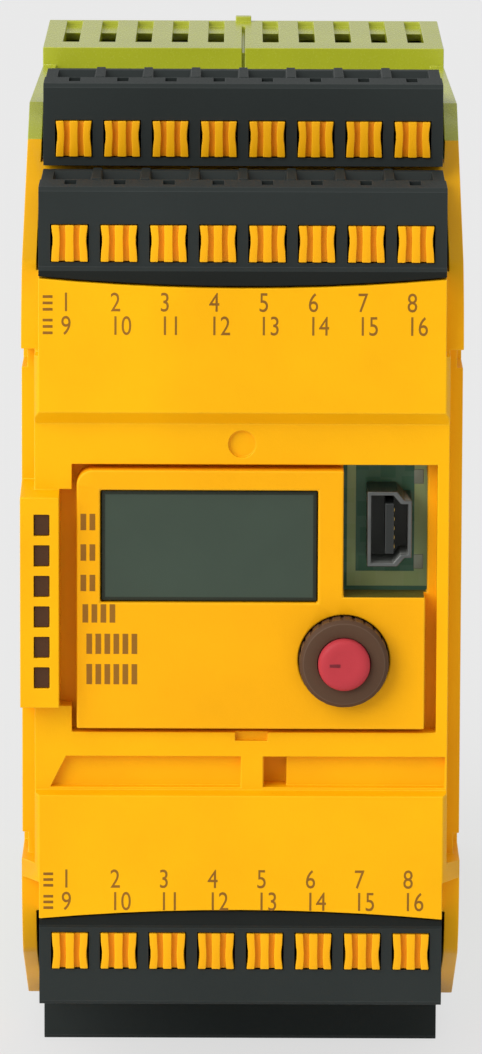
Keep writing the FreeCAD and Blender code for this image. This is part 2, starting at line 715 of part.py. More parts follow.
def display_frame():
    x = (DISPLAY_X[0] + FIT, DISPLAY_X[1] - FIT)
    z = (DISPLAY_Z[0] + FIT, DISPLAY_Z[1] - FIT)
    rear = DISPLAY_Y + DISPLAY_GLASS
    frame = box(x, (rear, FRONT_BOARD_Y), z)
    inside_x = (x[0] + WALL, x[1] - WALL)
    inside_z = (z[0] + WALL, z[1] - WALL)
    return frame.cut(box(inside_x, (rear + WALL, FRONT_BOARD_Y + WALL), inside_z))


def light_pipes():
    front = PANEL_Y - BAR_PROUD + LED_RECESS
    pipe_x = about(LED_X, LED_WINDOW[0] - FIT)
    pipes = []
    for z in led_places():
        pipes.append(box(pipe_x, (front, FRONT_BOARD_Y), about(z, LED_WINDOW[1] - FIT)))
    return pipes


# Boards

def front_board():
    half = INNER_HALF - SEAT_GAP
    return box(both(half), (FRONT_BOARD_Y, FRONT_BOARD_Y + BOARD), FRONT_BOARD_Z)


def main_board(side):
    front = FRONT_BOARD_Y + BOARD + BOARD_GAP
    step = TERMINAL_BOARD_Y
    rear = -REAR_WALL - BOARD_GAP
    low = PANEL_HALF - LIP_SAG - WALL - 2 * BOARD_GAP
    high = TERMINAL_BOARD_TOP - BOARD - BOARD_GAP
    outline = [
        (front, -low),
        (step, -low),
        (step, -high),
        (rear, -high),
        (rear, high),
        (step, high),
        (step, low),
        (front, low),
    ]
    board = prism_x(outline, about(side * MAIN_BOARD_X, BOARD))
    inner = side * (MAIN_BOARD_X - BOARD / 2)
    relay_x = sorted((inner, inner - side * RELAY_SIZE[0]))
    chip_x = sorted((inner, inner - side * CHIP_SIZE[0]))
    middle = (step + rear) / 2
    relay_y = about(middle, RELAY_SIZE[1])
    parts = [box(chip_x, about(middle, CHIP_SIZE[1]), about(0, CHIP_SIZE[2]))]
    for z in (-high / 2, high / 2):
        parts.append(box(relay_x, relay_y, about(z, RELAY_SIZE[2])))
    return board.fuse(parts).removeSplitter()


def terminal_board():
    half = INNER_HALF - BOARD_GAP
    y = (TERMINAL_BOARD_Y, TERMINAL_BOARD_Y + TERMINAL_BOARD_LENGTH)
    return box(both(half), y, (TERMINAL_BOARD_TOP - BOARD, TERMINAL_BOARD_TOP))


# Upright socket: a stepped shell, wide at the left and narrower at the right

def socket_outline(inset):
    x = about(SOCKET_PLACE[0], SOCKET_SIZE[0] - 2 * inset)
    z = about(SOCKET_PLACE[1], SOCKET_SIZE[1] - 2 * inset)
    step, taper = SOCKET_STEP
    return [
        (x[0], z[0]),
        (x[1] - step, z[0]),
        (x[1] - step / 2, z[0] + taper),
        (x[1], z[0] + taper),
        (x[1], z[1] - taper),
        (x[1] - step / 2, z[1] - taper),
        (x[1] - step, z[1]),
        (x[0], z[1]),
    ]


def usb_shell():
    front = FRONT_BOARD_Y - SOCKET_HEIGHT
    shell = prism_y(socket_outline(0), (front, FRONT_BOARD_Y))
    return shell.cut(prism_y(socket_outline(SOCKET_SHELL), (front - WALL, FRONT_BOARD_Y - SOCKET_FLOOR)))


def usb_tongue():
    front = FRONT_BOARD_Y - SOCKET_HEIGHT
    x = about(SOCKET_PLACE[0], TONGUE_PLATE[0])
    z = about(SOCKET_PLACE[1], TONGUE_PLATE[1])
    return box(x, (front + SOCKET_SHELL, FRONT_BOARD_Y - SOCKET_FLOOR), z)


# Knob and encoder

def knob_ring():
    front = CONTROL_Y - KNOB_PROUD
    rear = CONTROL_Y + KNOB_SKIRT
    edge = KNOB_DIAMETER / 2
    profile = [
        V(0, front, 0),
        V(edge - KNOB_BEVEL, front, 0),
        V(edge, front + KNOB_BEVEL, 0),
        V(edge, rear, 0),
        V(0, rear, 0),
    ]
    ring = polygon(profile).revolve(V(0, 0, 0), V(0, 1, 0), 360)
    ring = moved(ring, KNOB_PLACE[0], 0, KNOB_PLACE[1])
    cuts = [
        cylinder_y(KNOB_PLACE, CAP_DIAMETER + FIT, (front - WALL, CAP_REAR_Y)),
        shaft(SHAFT_DIAMETER + FIT, (front, rear)),
    ]
    return ring.cut(cuts)


def knob_cap():
    front = CONTROL_Y - KNOB_PROUD - CAP_PROUD
    edge = CAP_DIAMETER / 2
    profile = [
        V(0, front, 0),
        V(edge - CAP_BEVEL, front, 0),
        V(edge, front + CAP_BEVEL, 0),
        V(edge, CAP_REAR_Y, 0),
        V(0, CAP_REAR_Y, 0),
    ]
    return moved(polygon(profile).revolve(V(0, 0, 0), V(0, 1, 0), 360), KNOB_PLACE[0], 0, KNOB_PLACE[1])


def shaft(diameter, y):
    rod = cylinder_y(KNOB_PLACE, diameter, y)
    flat_z = KNOB_PLACE[1] + diameter / 2 - SHAFT_FLAT
    flat = box(about(KNOB_PLACE[0], 2 * diameter), y, (flat_z, flat_z + diameter))
    return rod.cut(flat)


def shaft_end():
    return FRONT_BOARD_Y - BOARD_GAP - PLUNGER_HEIGHT - PUSH_TRAVEL - SEAT_GAP


def encoder_shaft():
    return shaft(SHAFT_DIAMETER, (CAP_REAR_Y + SHAFT_TOP, shaft_end()))


def encoder_plunger():
    end = shaft_end()
    x = about(KNOB_PLACE[0], PLUNGER_SIZE)
    z = about(KNOB_PLACE[1], PLUNGER_SIZE)
    return box(x, (end, end + PLUNGER_HEIGHT), z)


def encoder_body():
    front = FRONT_BOARD_Y - ENCODER_HEIGHT
    x = about(KNOB_PLACE[0], ENCODER_SIZE)
    z = about(KNOB_PLACE[1], ENCODER_SIZE)
    bore_y = (front - WALL, FRONT_BOARD_Y - BOARD_GAP)
    bore_size = SHAFT_DIAMETER + 2 * SLIDE_GAP
    bore = box(about(KNOB_PLACE[0], bore_size), bore_y, about(KNOB_PLACE[1], bore_size))
    return box(x, (front, FRONT_BOARD_Y), z).cut(bore)


# Rear housing: tub with rail seat, ventilated top and bottom, ledges for the boards

def vent_places():
    first = VENT_MIDDLE_GAP / 2
    right = [first + VENT_PITCH * vent for vent in range(VENTS_PER_SIDE)]
    return [-x for x in right] + right


def vent_cuts():
    start = -VENT_BLOCK + VENT_FRONT_LAND
    groove_z = (HOUSING_HALF - VENT_GROOVE, HOUSING_HALF + WALL)
    hole_z = (HOUSING_HALF - 2 * WALL, HOUSING_HALF + WALL)
    end = start + VENT_HOLE
    hole_side = [
        (start, hole_z[0]),
        (end + VENT_RAKE, hole_z[0]),
        (end, groove_z[0]),
        (end, hole_z[1]),
        (start, hole_z[1]),
    ]
    cuts = []
    for x in vent_places():
        width = about(x, VENT_WIDTH)
        groove = box(width, (start, FOOT_DEPTH - VENT_REAR_LAND), groove_z)
        lower_hole = box(width, (start, end), (-hole_z[1], -hole_z[0]))
        cuts += [groove, prism_x(hole_side, width), lower_hole]
    seam = about(0, SEAM_WIDTH)
    cuts.append(box(seam, (-VENT_BLOCK - WALL, -VENT_REAR_LAND), groove_z))
    cuts.append(box(seam, (-VENT_BLOCK - WALL, -VENT_BLOCK + VENT_GROOVE), (REAR_FLOOR_Z, HOUSING_HALF)))
    slot_end = FOOT_DEPTH - WALL
    slot = box(about(VENT_MIDDLE_GAP / 2, REAR_SLOT[0]), (slot_end - REAR_SLOT[1], slot_end), hole_z)
    return cuts + left_and_right(slot)


def rear_tab():
    y = (FOOT_DEPTH - REAR_TAB[1], FOOT_DEPTH)
    return box(both(REAR_TAB[0] / 2), y, (HOUSING_HALF - FIT, HOUSING_HALF + REAR_TAB[2]))


def rear_cavity():
    deck = REAR_FLOOR_Z - WALL
    vent_half = HOUSING_HALF - WALL
    foot_z = RAIL_HALF + HOOK_THICKNESS + WALL
    vent_front = -VENT_BLOCK + WALL
    foot = box(both(INNER_HALF), (-REAR_WALL - FIT, FOOT_DEPTH - WALL), (foot_z, vent_half))
    return [
        box(both(INNER_HALF), (PARTING_Y - WALL, -REAR_WALL), both(deck)),
        box(both(INNER_HALF), (vent_front, -REAR_WALL), both(vent_half)),
    ] + top_and_bottom(foot)


def deck_cuts():
    beyond = HOUSING_HALF + WALL
    deck = box(both(INNER_HALF), (PARTING_Y - WALL, -VENT_BLOCK), (REAR_FLOOR_Z, beyond))
    tail_end = REAR_ROW_Y + HEADER_REAR
    slot_y = (tail_end - TAIL_THICKNESS - SEAT_GAP, tail_end + SEAT_GAP)
    slot_z = (REAR_FLOOR_Z - 2 * WALL, REAR_FLOOR_Z + WALL)
    slot = box(both(tail_half() + SEAT_GAP), slot_y, slot_z)
    return top_and_bottom(deck) + top_and_bottom(slot)


def rail_cut():
    seat = box(both(HALF_WIDTH + WALL), (0, FOOT_DEPTH + WALL), both(RAIL_HALF))
    hook_outline = [
        (HOOK_Y, RAIL_HALF + FIT),
        (HOOK_Y, RAIL_HALF - HOOK_REACH),
        (HOOK_Y + HOOK_THICKNESS, RAIL_HALF - HOOK_REACH),
        (FOOT_DEPTH, RAIL_HALF + FIT),
    ]
    return seat, prism_x(hook_outline, both(INNER_HALF))


def latch_channel():
    wide = LATCH_FLANGE[0] / 2 + SLIDE_GAP
    narrow = LATCH_NECK / 2 + SLIDE_GAP
    deep = (SLIDE_GAP, LATCH_FLANGE[1] + 3 * SLIDE_GAP)
    floor = -HOUSING_HALF + WALL
    top = -RAIL_HALF + WALL
    block = box(both(wide + LATCH_GUIDE), (-REAR_WALL, FOOT_DEPTH), (-HOUSING_HALF, -RAIL_HALF))
    cuts = [
        box(both(wide), deep, (floor, top)),
        box(both(narrow), (deep[0], FOOT_DEPTH + WALL), (-HOUSING_HALF - WALL, top)),
    ]
    return block, cuts


def rear_ledges():
    x = (INNER_HALF - LEDGE, INNER_HALF + FIT)
    y = (PARTING_Y + SEAT_GAP, TERMINAL_BOARD_Y + TERMINAL_BOARD_LENGTH)
    low = TERMINAL_BOARD_TOP - BOARD - BOARD_GAP
    high = TERMINAL_BOARD_TOP + BOARD_GAP
    ledges = []
    for z in ((low - LEDGE_HEIGHT, low), (high, high + LEDGE_HEIGHT)):
        for half in left_and_right(box(x, y, z)):
            ledges += top_and_bottom(half)
    slot = BOARD / 2 + BOARD_GAP
    height = TERMINAL_BOARD_TOP - BOARD - 2 * LEDGE_HEIGHT
    for offset in (-slot - LEDGE, slot):
        x = MAIN_BOARD_X + offset
        guide = box((x, x + LEDGE), (-REAR_WALL - 2 * LEDGE_HEIGHT, -REAR_WALL + FIT), both(height))
        ledges += left_and_right(guide)
    return ledges


def snap_windows():
    x = (INNER_HALF - FIT, HALF_WIDTH + WALL)
    start = PARTING_Y + SNAP_SETBACK
    y = (start - SEAT_GAP, start + SNAP_SIZE[0] + SEAT_GAP)
    return left_and_right(box(x, y, about(SNAP_Z, SNAP_SIZE[1] + 2 * SEAT_GAP)))


def rear_housing():
    rear_part = box(both(HALF_WIDTH + WALL), (PARTING_Y, FOOT_DEPTH + WALL), both(HOUSING_HALF + WALL))
    body = envelope().common(rear_part)
    body = body.cut(rear_cavity())
    body = body.cut(deck_cuts() + vent_cuts() + snap_windows())
    seat, hook = rail_cut()
    block, channel = latch_channel()
    body = body.cut(seat)
    body = body.fuse([hook, block, rear_tab()] + rear_ledges()).removeSplitter()
    return body.cut(channel)


# Rail latch: a T-shaped slide, pushed up by a flat zigzag spring under its flange

def latch_flange_low():
    return -RAIL_HALF - WALL - LATCH_FLANGE[2]


def rail_latch():
    flange_y = (2 * SLIDE_GAP, 2 * SLIDE_GAP + LATCH_FLANGE[1])
    top = -RAIL_HALF - SLIDE_GAP
    low = latch_flange_low()
    flange = box(both(LATCH_FLANGE[0] / 2), flange_y, (low, -RAIL_HALF - WALL))
    neck = [
        (flange_y[1] - FIT, top),
        (HOOK_Y, top + FIT),
        (HOOK_Y, top + HOOK_REACH),
        (HOOK_Y + HOOK_THICKNESS, top + HOOK_REACH),
        (FOOT_DEPTH - SLIDE_GAP, top),
        (FOOT_DEPTH - SLIDE_GAP, -HOUSING_HALF - LATCH_TAB),
        (flange_y[1] - FIT, -HOUSING_HALF - LATCH_TAB),
    ]
    latch = flange.fuse(prism_x(neck, both(LATCH_NECK / 2))).removeSplitter()
    slot_z = about(-HOUSING_HALF - LATCH_TAB / 2, LATCH_SLOT[1])
    return latch.cut(box(both(LATCH_SLOT[0] / 2), (0, FOOT_DEPTH + WALL), slot_z))


def latch_spring():
    top = latch_flange_low() - SLIDE_GAP
    floor = -HOUSING_HALF + WALL + SLIDE_GAP
    half = LATCH_FLANGE[0] / 2 - SPRING_WIRE
    step = (top - floor - SPRING_WIRE) / SPRING_RUNS
    y = about(2 * SLIDE_GAP + LATCH_FLANGE[1] / 2, SPRING_WIRE)
    runs = []
    for turn in range(SPRING_RUNS):
        x = half if turn % 2 else -half
        low = floor + step * turn
        high = low + step
        outline = [(x, low), (-x, high), (-x, high + SPRING_WIRE), (x, low + SPRING_WIRE)]
        runs.append(prism_y(outline, y))
    return runs[0].fuse(runs[1:]).removeSplitter()


# Assembly: the same block, levers, clamps and headers for each row, turned over for the lower rows

def in_row(shape, rear_row):
    if rear_row:
        return moved(shape, 0, REAR_ROW_Y, REAR_ROW_Z)
    return moved(shape, 0, FRONT_ROW_Y, FRONT_ROW_Z)


def placed(shape, row):
    shape = in_row(shape, row.endswith("rear"))
    return turned_over(shape) if row.startswith("bottom") else shape


os.makedirs("parts", exist_ok=True)
headers = []
for row in ("top_rear", "top_front", "bottom_front", "bottom_rear"):
    rear_row = row.endswith("rear")
    save("terminal_" + row, [placed(terminal_block(not rear_row), row)])
    headers.append(placed(pin_header(rear_row), row))
    clamps = []
    for number, x in enumerate(pole_places(), 1):
        clamps.append(placed(moved(contact_bar(), x), row))
        clamps.append(placed(moved(clamp_spring(), x), row))
        save("lever_" + row + "_" + str(number), [placed(moved(lever(), x), row)])
    save("clamps_" + row, clamps)
save("pin_headers", headers)
save("front_housing", [front_housing()])
save("rear_housing", [rear_housing()])
save("control_panel", [control_panel()])
save("lcd_glass", [display_glass()])
save("lcd_frame", [display_frame()])
save("led_light_pipes", light_pipes())
save("front_board", [front_board()])
save("main_boards", [main_board(-1), main_board(1)])
save("terminal_boards", top_and_bottom(terminal_board()))
save("usb_shell", [usb_shell()])
save("usb_tongue", [usb_tongue()])
save("knob_ring", [knob_ring()])
save("knob_cap", [knob_cap()])
save("encoder_shaft", [encoder_shaft()])
save("encoder_plunger", [encoder_plunger()])
save("encoder_body", [encoder_body()])
save("rail_latch", [rail_latch()])
save("latch_spring", [latch_spring()])
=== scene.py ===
import math

import bpy
from mathutils import Matrix, Vector


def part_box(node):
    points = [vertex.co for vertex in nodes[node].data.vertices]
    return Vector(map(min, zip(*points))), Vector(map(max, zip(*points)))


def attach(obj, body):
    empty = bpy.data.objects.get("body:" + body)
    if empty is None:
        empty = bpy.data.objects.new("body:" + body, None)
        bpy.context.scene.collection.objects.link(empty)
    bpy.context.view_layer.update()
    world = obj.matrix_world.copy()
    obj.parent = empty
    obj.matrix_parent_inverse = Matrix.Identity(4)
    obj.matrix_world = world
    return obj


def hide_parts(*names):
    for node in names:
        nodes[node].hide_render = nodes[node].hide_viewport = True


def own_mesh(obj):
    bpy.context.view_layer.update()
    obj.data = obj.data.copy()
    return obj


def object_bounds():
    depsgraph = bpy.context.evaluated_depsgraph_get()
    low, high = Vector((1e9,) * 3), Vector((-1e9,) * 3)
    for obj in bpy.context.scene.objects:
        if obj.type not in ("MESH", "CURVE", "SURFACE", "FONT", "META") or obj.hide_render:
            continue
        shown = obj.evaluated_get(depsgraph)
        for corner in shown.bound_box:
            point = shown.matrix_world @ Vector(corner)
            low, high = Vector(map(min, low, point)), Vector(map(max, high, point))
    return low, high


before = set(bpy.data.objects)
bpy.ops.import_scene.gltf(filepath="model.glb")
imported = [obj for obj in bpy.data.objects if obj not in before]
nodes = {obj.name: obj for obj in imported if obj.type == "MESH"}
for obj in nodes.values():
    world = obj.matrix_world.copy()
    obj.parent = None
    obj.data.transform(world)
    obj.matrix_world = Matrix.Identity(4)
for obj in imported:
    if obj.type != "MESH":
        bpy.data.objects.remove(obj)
cad_low, cad_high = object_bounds()


# Rear housing: the tub that holds the boards and hooks onto the mounting rail.
# Injection moulded in green-yellow plastic with a fine eroded grain, its vents
# formed in the mould; the front housing snaps onto its rim.

mm = 0.001
GREEN = (176, 182, 46)
TUB_EDGE = 0.09 * mm
MELT_PATCH = 13 * mm
RUB_RANGE = 0.06
# Painted highlight: the rounded edges of the mouldings are coloured this share lighter.
EDGE_HIGHLIGHT = 0.06
WORN_SMOOTH = 0.1
SAME_POINT = 0.002 * mm
SAME_PLANE = math.radians(0.8)
SMOOTH_BELOW = math.radians(35)
PUSHED_OUT = 0.001 * mm


def mixed(red, green, blue):
    """A colour given in everyday 0 to 255 values, as the light in the scene sees it."""
    def channel(value):
        share = value / 255
        return share / 12.92 if share <= 0.04045 else ((share + 0.055) / 1.055) ** 2.4
    return (channel(red), channel(green), channel(blue))


def lighter(colour, share):
    return tuple(min(255, value + (255 - value) * share) for value in colour)


def moulded_plastic(
    name, colour, roughness, gloss=0.12, grain=0.22 * mm, relief=0.02 * mm, drift=0.06
):
    """Moulded plastic: slow drifts of colour from the melt, and the grain of the eroded mould."""
    finish = bpy.data.materials.new(name)
    finish.use_nodes = True
    tree = finish.node_tree
    shader = tree.nodes["Principled BSDF"]
    shader.inputs["Specular IOR Level"].default_value = gloss
    place = tree.nodes.new("ShaderNodeTexCoord")
    melt = tree.nodes.new("ShaderNodeTexNoise")
    melt.inputs["Scale"].default_value = 1 / MELT_PATCH
    melt.inputs["Detail"].default_value = 4
    tint = tree.nodes.new("ShaderNodeValToRGB")
    base = mixed(*colour)
    tint.color_ramp.elements[0].position = 0.3
    tint.color_ramp.elements[0].color = (*(c * (1 - drift) for c in base), 1)
    tint.color_ramp.elements[1].position = 0.7
    tint.color_ramp.elements[1].color = (*(min(1, c * (1 + drift)) for c in base), 1)
    eroded = tree.nodes.new("ShaderNodeTexNoise")
    eroded.inputs["Scale"].default_value = 1 / grain
    eroded.inputs["Detail"].default_value = 2
    rub = tree.nodes.new("ShaderNodeMapRange")
    rub.inputs["From Min"].default_value = 0.3
    rub.inputs["From Max"].default_value = 0.7
    rub.inputs["To Min"].default_value = roughness - RUB_RANGE
    rub.inputs["To Max"].default_value = roughness + RUB_RANGE
    bump = tree.nodes.new("ShaderNodeBump")
    bump.inputs["Strength"].default_value = 0.5
    bump.inputs["Distance"].default_value = relief
    join = tree.links.new
    join(place.outputs["Object"], melt.inputs["Vector"])
    join(place.outputs["Object"], eroded.inputs["Vector"])
    join(melt.outputs["Fac"], tint.inputs["Fac"])
    join(tint.outputs["Color"], shader.inputs["Base Color"])
    join(eroded.outputs["Fac"], rub.inputs["Value"])
    join(rub.outputs["Result"], shader.inputs["Roughness"])
    join(eroded.outputs["Fac"], bump.inputs["Height"])
    join(bump.outputs["Normal"], shader.inputs["Normal"])
    return finish


def plastic_pair(name, colour, roughness, gloss=0.12):
    """The grained face of a moulding, and its edges: smoother from use, and a little lighter as a
    painted highlight.
    """
    worn = max(WORN_SMOOTH, roughness - WORN_SMOOTH)
    edge = moulded_plastic(name + "_edge", lighter(colour, EDGE_HIGHLIGHT), worn, gloss)
    return [moulded_plastic(name, colour, roughness, gloss), edge]


def only(piece):
    bpy.ops.object.select_all(action="DESELECT")
    piece.select_set(True)
    bpy.context.view_layer.objects.active = piece


def merged_copy(node, name):
    """A copy of a drawn part with its loose triangles merged into whole faces."""
    piece = bpy.data.objects.new(name, nodes[node].data.copy())
    bpy.context.scene.collection.objects.link(piece)
    piece.data.materials.clear()
    only(piece)
    bpy.ops.mesh.customdata_custom_splitnormals_clear()
    bpy.ops.object.mode_set(mode="EDIT")
    bpy.ops.mesh.select_all(action="SELECT")
    bpy.ops.mesh.remove_doubles(threshold=SAME_POINT)
    bpy.ops.mesh.dissolve_limited(angle_limit=SAME_PLANE)
    bpy.ops.mesh.quads_convert_to_tris(ngon_method="BEAUTY")
    bpy.ops.object.mode_set(mode="OBJECT")
    return piece


def apply_all(piece):
    only(piece)
    for modifier in [m.name for m in piece.modifiers]:
        bpy.ops.object.modifier_apply(modifier=modifier)


def eased(piece, width, finishes, segments=3, angle=32):
    """Rounds the sharp edges as the mould does, and keeps the flats flat in the light."""
    for finish in finishes:
        piece.data.materials.append(finish)
    bevel = piece.modifiers.new("eased", "BEVEL")
    bevel.width = width
    bevel.segments = segments
    bevel.limit_method = "ANGLE"
    bevel.angle_limit = math.radians(angle)
    bevel.use_clamp_overlap = False
    bevel.loop_slide = False
    bevel.face_strength_mode = "FSTR_ALL"
    # The rounded edges take the last finish, which for a plastic pair is the painted edge
    # highlight.
    bevel.material = len(finishes) - 1
    apply_all(piece)
    bpy.ops.object.shade_smooth_by_angle(angle=SMOOTH_BELOW)
    flats = piece.modifiers.new("flats", "WEIGHTED_NORMAL")
    flats.keep_sharp = True
    flats.use_face_influence = True
    apply_all(piece)
    return piece


def kept_in_box(piece, node):
    """Flattens points that the rounding pushed out of the drawn box back onto its faces."""
    for side, limits in zip((-1, 1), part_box(node)):
        for axis, limit in enumerate(limits):
            only(piece)
            bpy.ops.object.mode_set(mode="EDIT")
            bpy.ops.mesh.select_mode(type="VERT")
            bpy.ops.mesh.select_all(action="DESELECT")
            bpy.ops.object.mode_set(mode="OBJECT")
            for point in piece.data.vertices:
                point.select = side * (point.co[axis] - limit) > PUSHED_OUT
            flat = [0 if other == axis else 1 for other in range(3)]
            face = [limit if other == axis else 0 for other in range(3)]
            bpy.ops.object.mode_set(mode="EDIT")
            bpy.ops.transform.resize(value=flat, center_override=face)
            bpy.ops.object.mode_set(mode="OBJECT")


def stands_for(piece, body, slot, *replaced):
    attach(piece, body)
    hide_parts(*replaced)


rear_tub = merged_copy("rear_housing", "rear_tub")
eased(rear_tub, TUB_EDGE, plastic_pair("green_moulding", GREEN, roughness=0.24, gloss=0.5))
kept_in_box(rear_tub, "rear_housing")
stands_for(rear_tub, "housing", "housing_green", "rear_housing")


# Rail latch: a black slide at the foot of the rear housing, with a slotted pull tab.
# Moulded in tough nylon; a bent wire spring under it pushes it up against the rail.

LATCH_BLACK = (44, 45, 45)
LATCH_EDGE = 0.2 * mm
WIRE_STEEL = (176, 178, 180)
WIRE_EDGE = 0.1 * mm
TARNISH_PATCH = 2.5 * mm
TARNISH_SHARE = 0.8


def drawn_metal(name, colour, roughness, streak=(9000, 300, 9000)):
    """Drawn or stamped metal: fine streaks along the strip and a slow change of tarnish."""
    finish = bpy.data.materials.new(name)
    finish.use_nodes = True
    tree = finish.node_tree
    shader = tree.nodes["Principled BSDF"]
    shader.inputs["Metallic"].default_value = 1
    place = tree.nodes.new("ShaderNodeTexCoord")
    along = tree.nodes.new("ShaderNodeMapping")
    along.inputs["Scale"].default_value = streak
    lines = tree.nodes.new("ShaderNodeTexNoise")
    lines.inputs["Scale"].default_value = 1
    lines.inputs["Detail"].default_value = 3
    tarnish = tree.nodes.new("ShaderNodeTexNoise")
    tarnish.inputs["Scale"].default_value = 1 / TARNISH_PATCH
    tint = tree.nodes.new("ShaderNodeValToRGB")
    base = mixed(*colour)
    tint.color_ramp.elements[0].position = 0.35
    tint.color_ramp.elements[0].color = (*(c * TARNISH_SHARE for c in base), 1)
    tint.color_ramp.elements[1].position = 0.65
    tint.color_ramp.elements[1].color = (*base, 1)
    rub = tree.nodes.new("ShaderNodeMapRange")
    rub.inputs["To Min"].default_value = roughness - 0.1
    rub.inputs["To Max"].default_value = roughness + 0.1
    bump = tree.nodes.new("ShaderNodeBump")
    bump.inputs["Strength"].default_value = 0.3
    bump.inputs["Distance"].default_value = 0.005 * mm
    join = tree.links.new
    join(place.outputs["Object"], along.inputs["Vector"])
    join(along.outputs["Vector"], lines.inputs["Vector"])
    join(place.outputs["Object"], tarnish.inputs["Vector"])
    join(tarnish.outputs["Fac"], tint.inputs["Fac"])
    join(tint.outputs["Color"], shader.inputs["Base Color"])
    join(lines.outputs["Fac"], rub.inputs["Value"])
    join(rub.outputs["Result"], shader.inputs["Roughness"])
    join(lines.outputs["Fac"], bump.inputs["Height"])
    join(bump.outputs["Normal"], shader.inputs["Normal"])
    return finish


latch_slide = merged_copy("rail_latch", "latch_slide")
eased(latch_slide, LATCH_EDGE, plastic_pair("latch_nylon", LATCH_BLACK, roughness=0.42))
stands_for(latch_slide, "latch", "latch_black", "rail_latch")

latch_wire = merged_copy("latch_spring", "latch_wire")
eased(latch_wire, WIRE_EDGE, [drawn_metal("spring_wire", WIRE_STEEL, roughness=0.3)])
stands_for(latch_wire, "housing", "spring_steel", "latch_spring")
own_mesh(latch_wire)


# Circuit boards: glass-fibre laminate with green solder mask over copper tracks.
# Two stand on edge in the tub, two lie behind the terminals, one sits behind the
# control panel; relays and chips are soldered on and the boards slide into slots.

MASK_GREEN = (81, 132, 107)
TRACK_LIGHT = 0.08
TRACK_GRID = 2.4 * mm
WEAVE_GRID = 0.4 * mm
RELAY_WHITE = (226, 226, 220)
CHIP_BLACK = (40, 41, 43)
BOARD_EDGE = 0.08 * mm
RELAY_EDGE = 0.3 * mm
CHIP_EDGE = 0.15 * mm
BOARD_THICKEST = 1.7 * mm
BOARD_SHORTEST = 30 * mm
RELAY_SHORTEST = 20 * mm


def solder_mask(name, colour, track):
    """Green mask: tracks show through as a lighter maze, the weave as a faint grid."""
    finish = bpy.data.materials.new(name)
    finish.use_nodes = True
    tree = finish.node_tree
    shader = tree.nodes["Principled BSDF"]
    shader.inputs["Roughness"].default_value = 0.4
    shader.inputs["Specular IOR Level"].default_value = 0.25
    place = tree.nodes.new("ShaderNodeTexCoord")
    tracks = tree.nodes.new("ShaderNodeTexVoronoi")
    tracks.distance = "CHEBYCHEV"
    tracks.inputs["Scale"].default_value = 1 / TRACK_GRID
    tracks.inputs["Randomness"].default_value = 0.6
    tint = tree.nodes.new("ShaderNodeValToRGB")
    tint.color_ramp.elements[0].position = 0.30
    tint.color_ramp.elements[0].color = (*mixed(*colour), 1)
    tint.color_ramp.elements[1].position = 0.34
    tint.color_ramp.elements[1].color = (*mixed(*track), 1)
    weave = tree.nodes.new("ShaderNodeTexNoise")
    weave.inputs["Scale"].default_value = 1 / WEAVE_GRID
    bump = tree.nodes.new("ShaderNodeBump")
    bump.inputs["Strength"].default_value = 0.3
    bump.inputs["Distance"].default_value = 0.01 * mm
    join = tree.links.new
    join(place.outputs["Object"], tracks.inputs["Vector"])
    join(place.outputs["Object"], weave.inputs["Vector"])
    join(tracks.outputs["Distance"], tint.inputs["Fac"])
    join(tint.outputs["Color"], shader.inputs["Base Color"])
    join(weave.outputs["Fac"], bump.inputs["Height"])
    join(bump.outputs["Normal"], shader.inputs["Normal"])
    return finish


def copied(master, name, matrix):
    """Another piece like the master, with its own mesh, set where the matrix puts it."""
    piece = bpy.data.objects.new(name, master.data.copy())
    piece.data.transform(matrix)
    bpy.context.scene.collection.objects.link(piece)
    return piece


def joined(pieces, name):
    bpy.ops.object.select_all(action="DESELECT")
    for piece in pieces:
        piece.select_set(True)
    bpy.context.view_layer.objects.active = pieces[0]
    bpy.ops.object.join()
    pieces[0].name = name
    return pieces[0]


def loose_solids(piece):
    only(piece)
    bpy.ops.object.mode_set(mode="EDIT")
    bpy.ops.mesh.select_all(action="SELECT")
    bpy.ops.mesh.separate(type="LOOSE")
    bpy.ops.object.mode_set(mode="OBJECT")
    return list(bpy.context.selected_objects)


board_mask = solder_mask("board_mask", MASK_GREEN, lighter(MASK_GREEN, TRACK_LIGHT))
relay_case = plastic_pair("relay_case", RELAY_WHITE, roughness=0.35)
chip_epoxy = plastic_pair("chip_epoxy", CHIP_BLACK, roughness=0.55)
board_solids = loose_solids(merged_copy("main_boards", "upright_boards"))
for solid in board_solids:
    size = sorted(solid.dimensions)
    if size[0] < BOARD_THICKEST and size[2] > BOARD_SHORTEST:
        eased(solid, BOARD_EDGE, [board_mask])
    elif size[2] > RELAY_SHORTEST:
        eased(solid, RELAY_EDGE, relay_case)
    else:
        eased(solid, CHIP_EDGE, chip_epoxy)
upright_boards = joined(board_solids, "upright_boards")
stands_for(upright_boards, "housing", "circuit_board", "main_boards")

row_boards = merged_copy("terminal_boards", "row_boards")
eased(row_boards, BOARD_EDGE, [board_mask])
stands_for(row_boards, "housing", "circuit_board", "terminal_boards")

control_board = merged_copy("front_board", "control_board")
eased(control_board, BOARD_EDGE, [board_mask])
stands_for(control_board, "housing", "circuit_board", "front_board")


# Pin headers: the fixed halves of the plug-in connection, one behind each terminal block.
# Black glass-filled nylon shrouds with square tinned pins pressed through them
# and soldered to the terminal boards.

HEADER_BLACK = (40, 42, 42)
PIN_TIN = (196, 196, 192)
SHROUD_EDGE = 0.05 * mm
PITCH = 5.0
POLES = [(pole - 3.5) * PITCH for pole in range(8)]
ROW_PLACES = {
    "top_rear": (1, -91.2, 42.13),
    "top_front": (1, -110.2, 33.83),
    "bottom_front": (-1, -110.2, 33.83),
    "bottom_rear": (-1, -91.2, 42.13),
}
PIN_DEPTH = (19.9, 23.95)
PIN_RISE = (1.55, 2.65)
PIN_HALF = 0.53
tinned_pins = drawn_metal("tinned_pins", PIN_TIN, roughness=0.28)


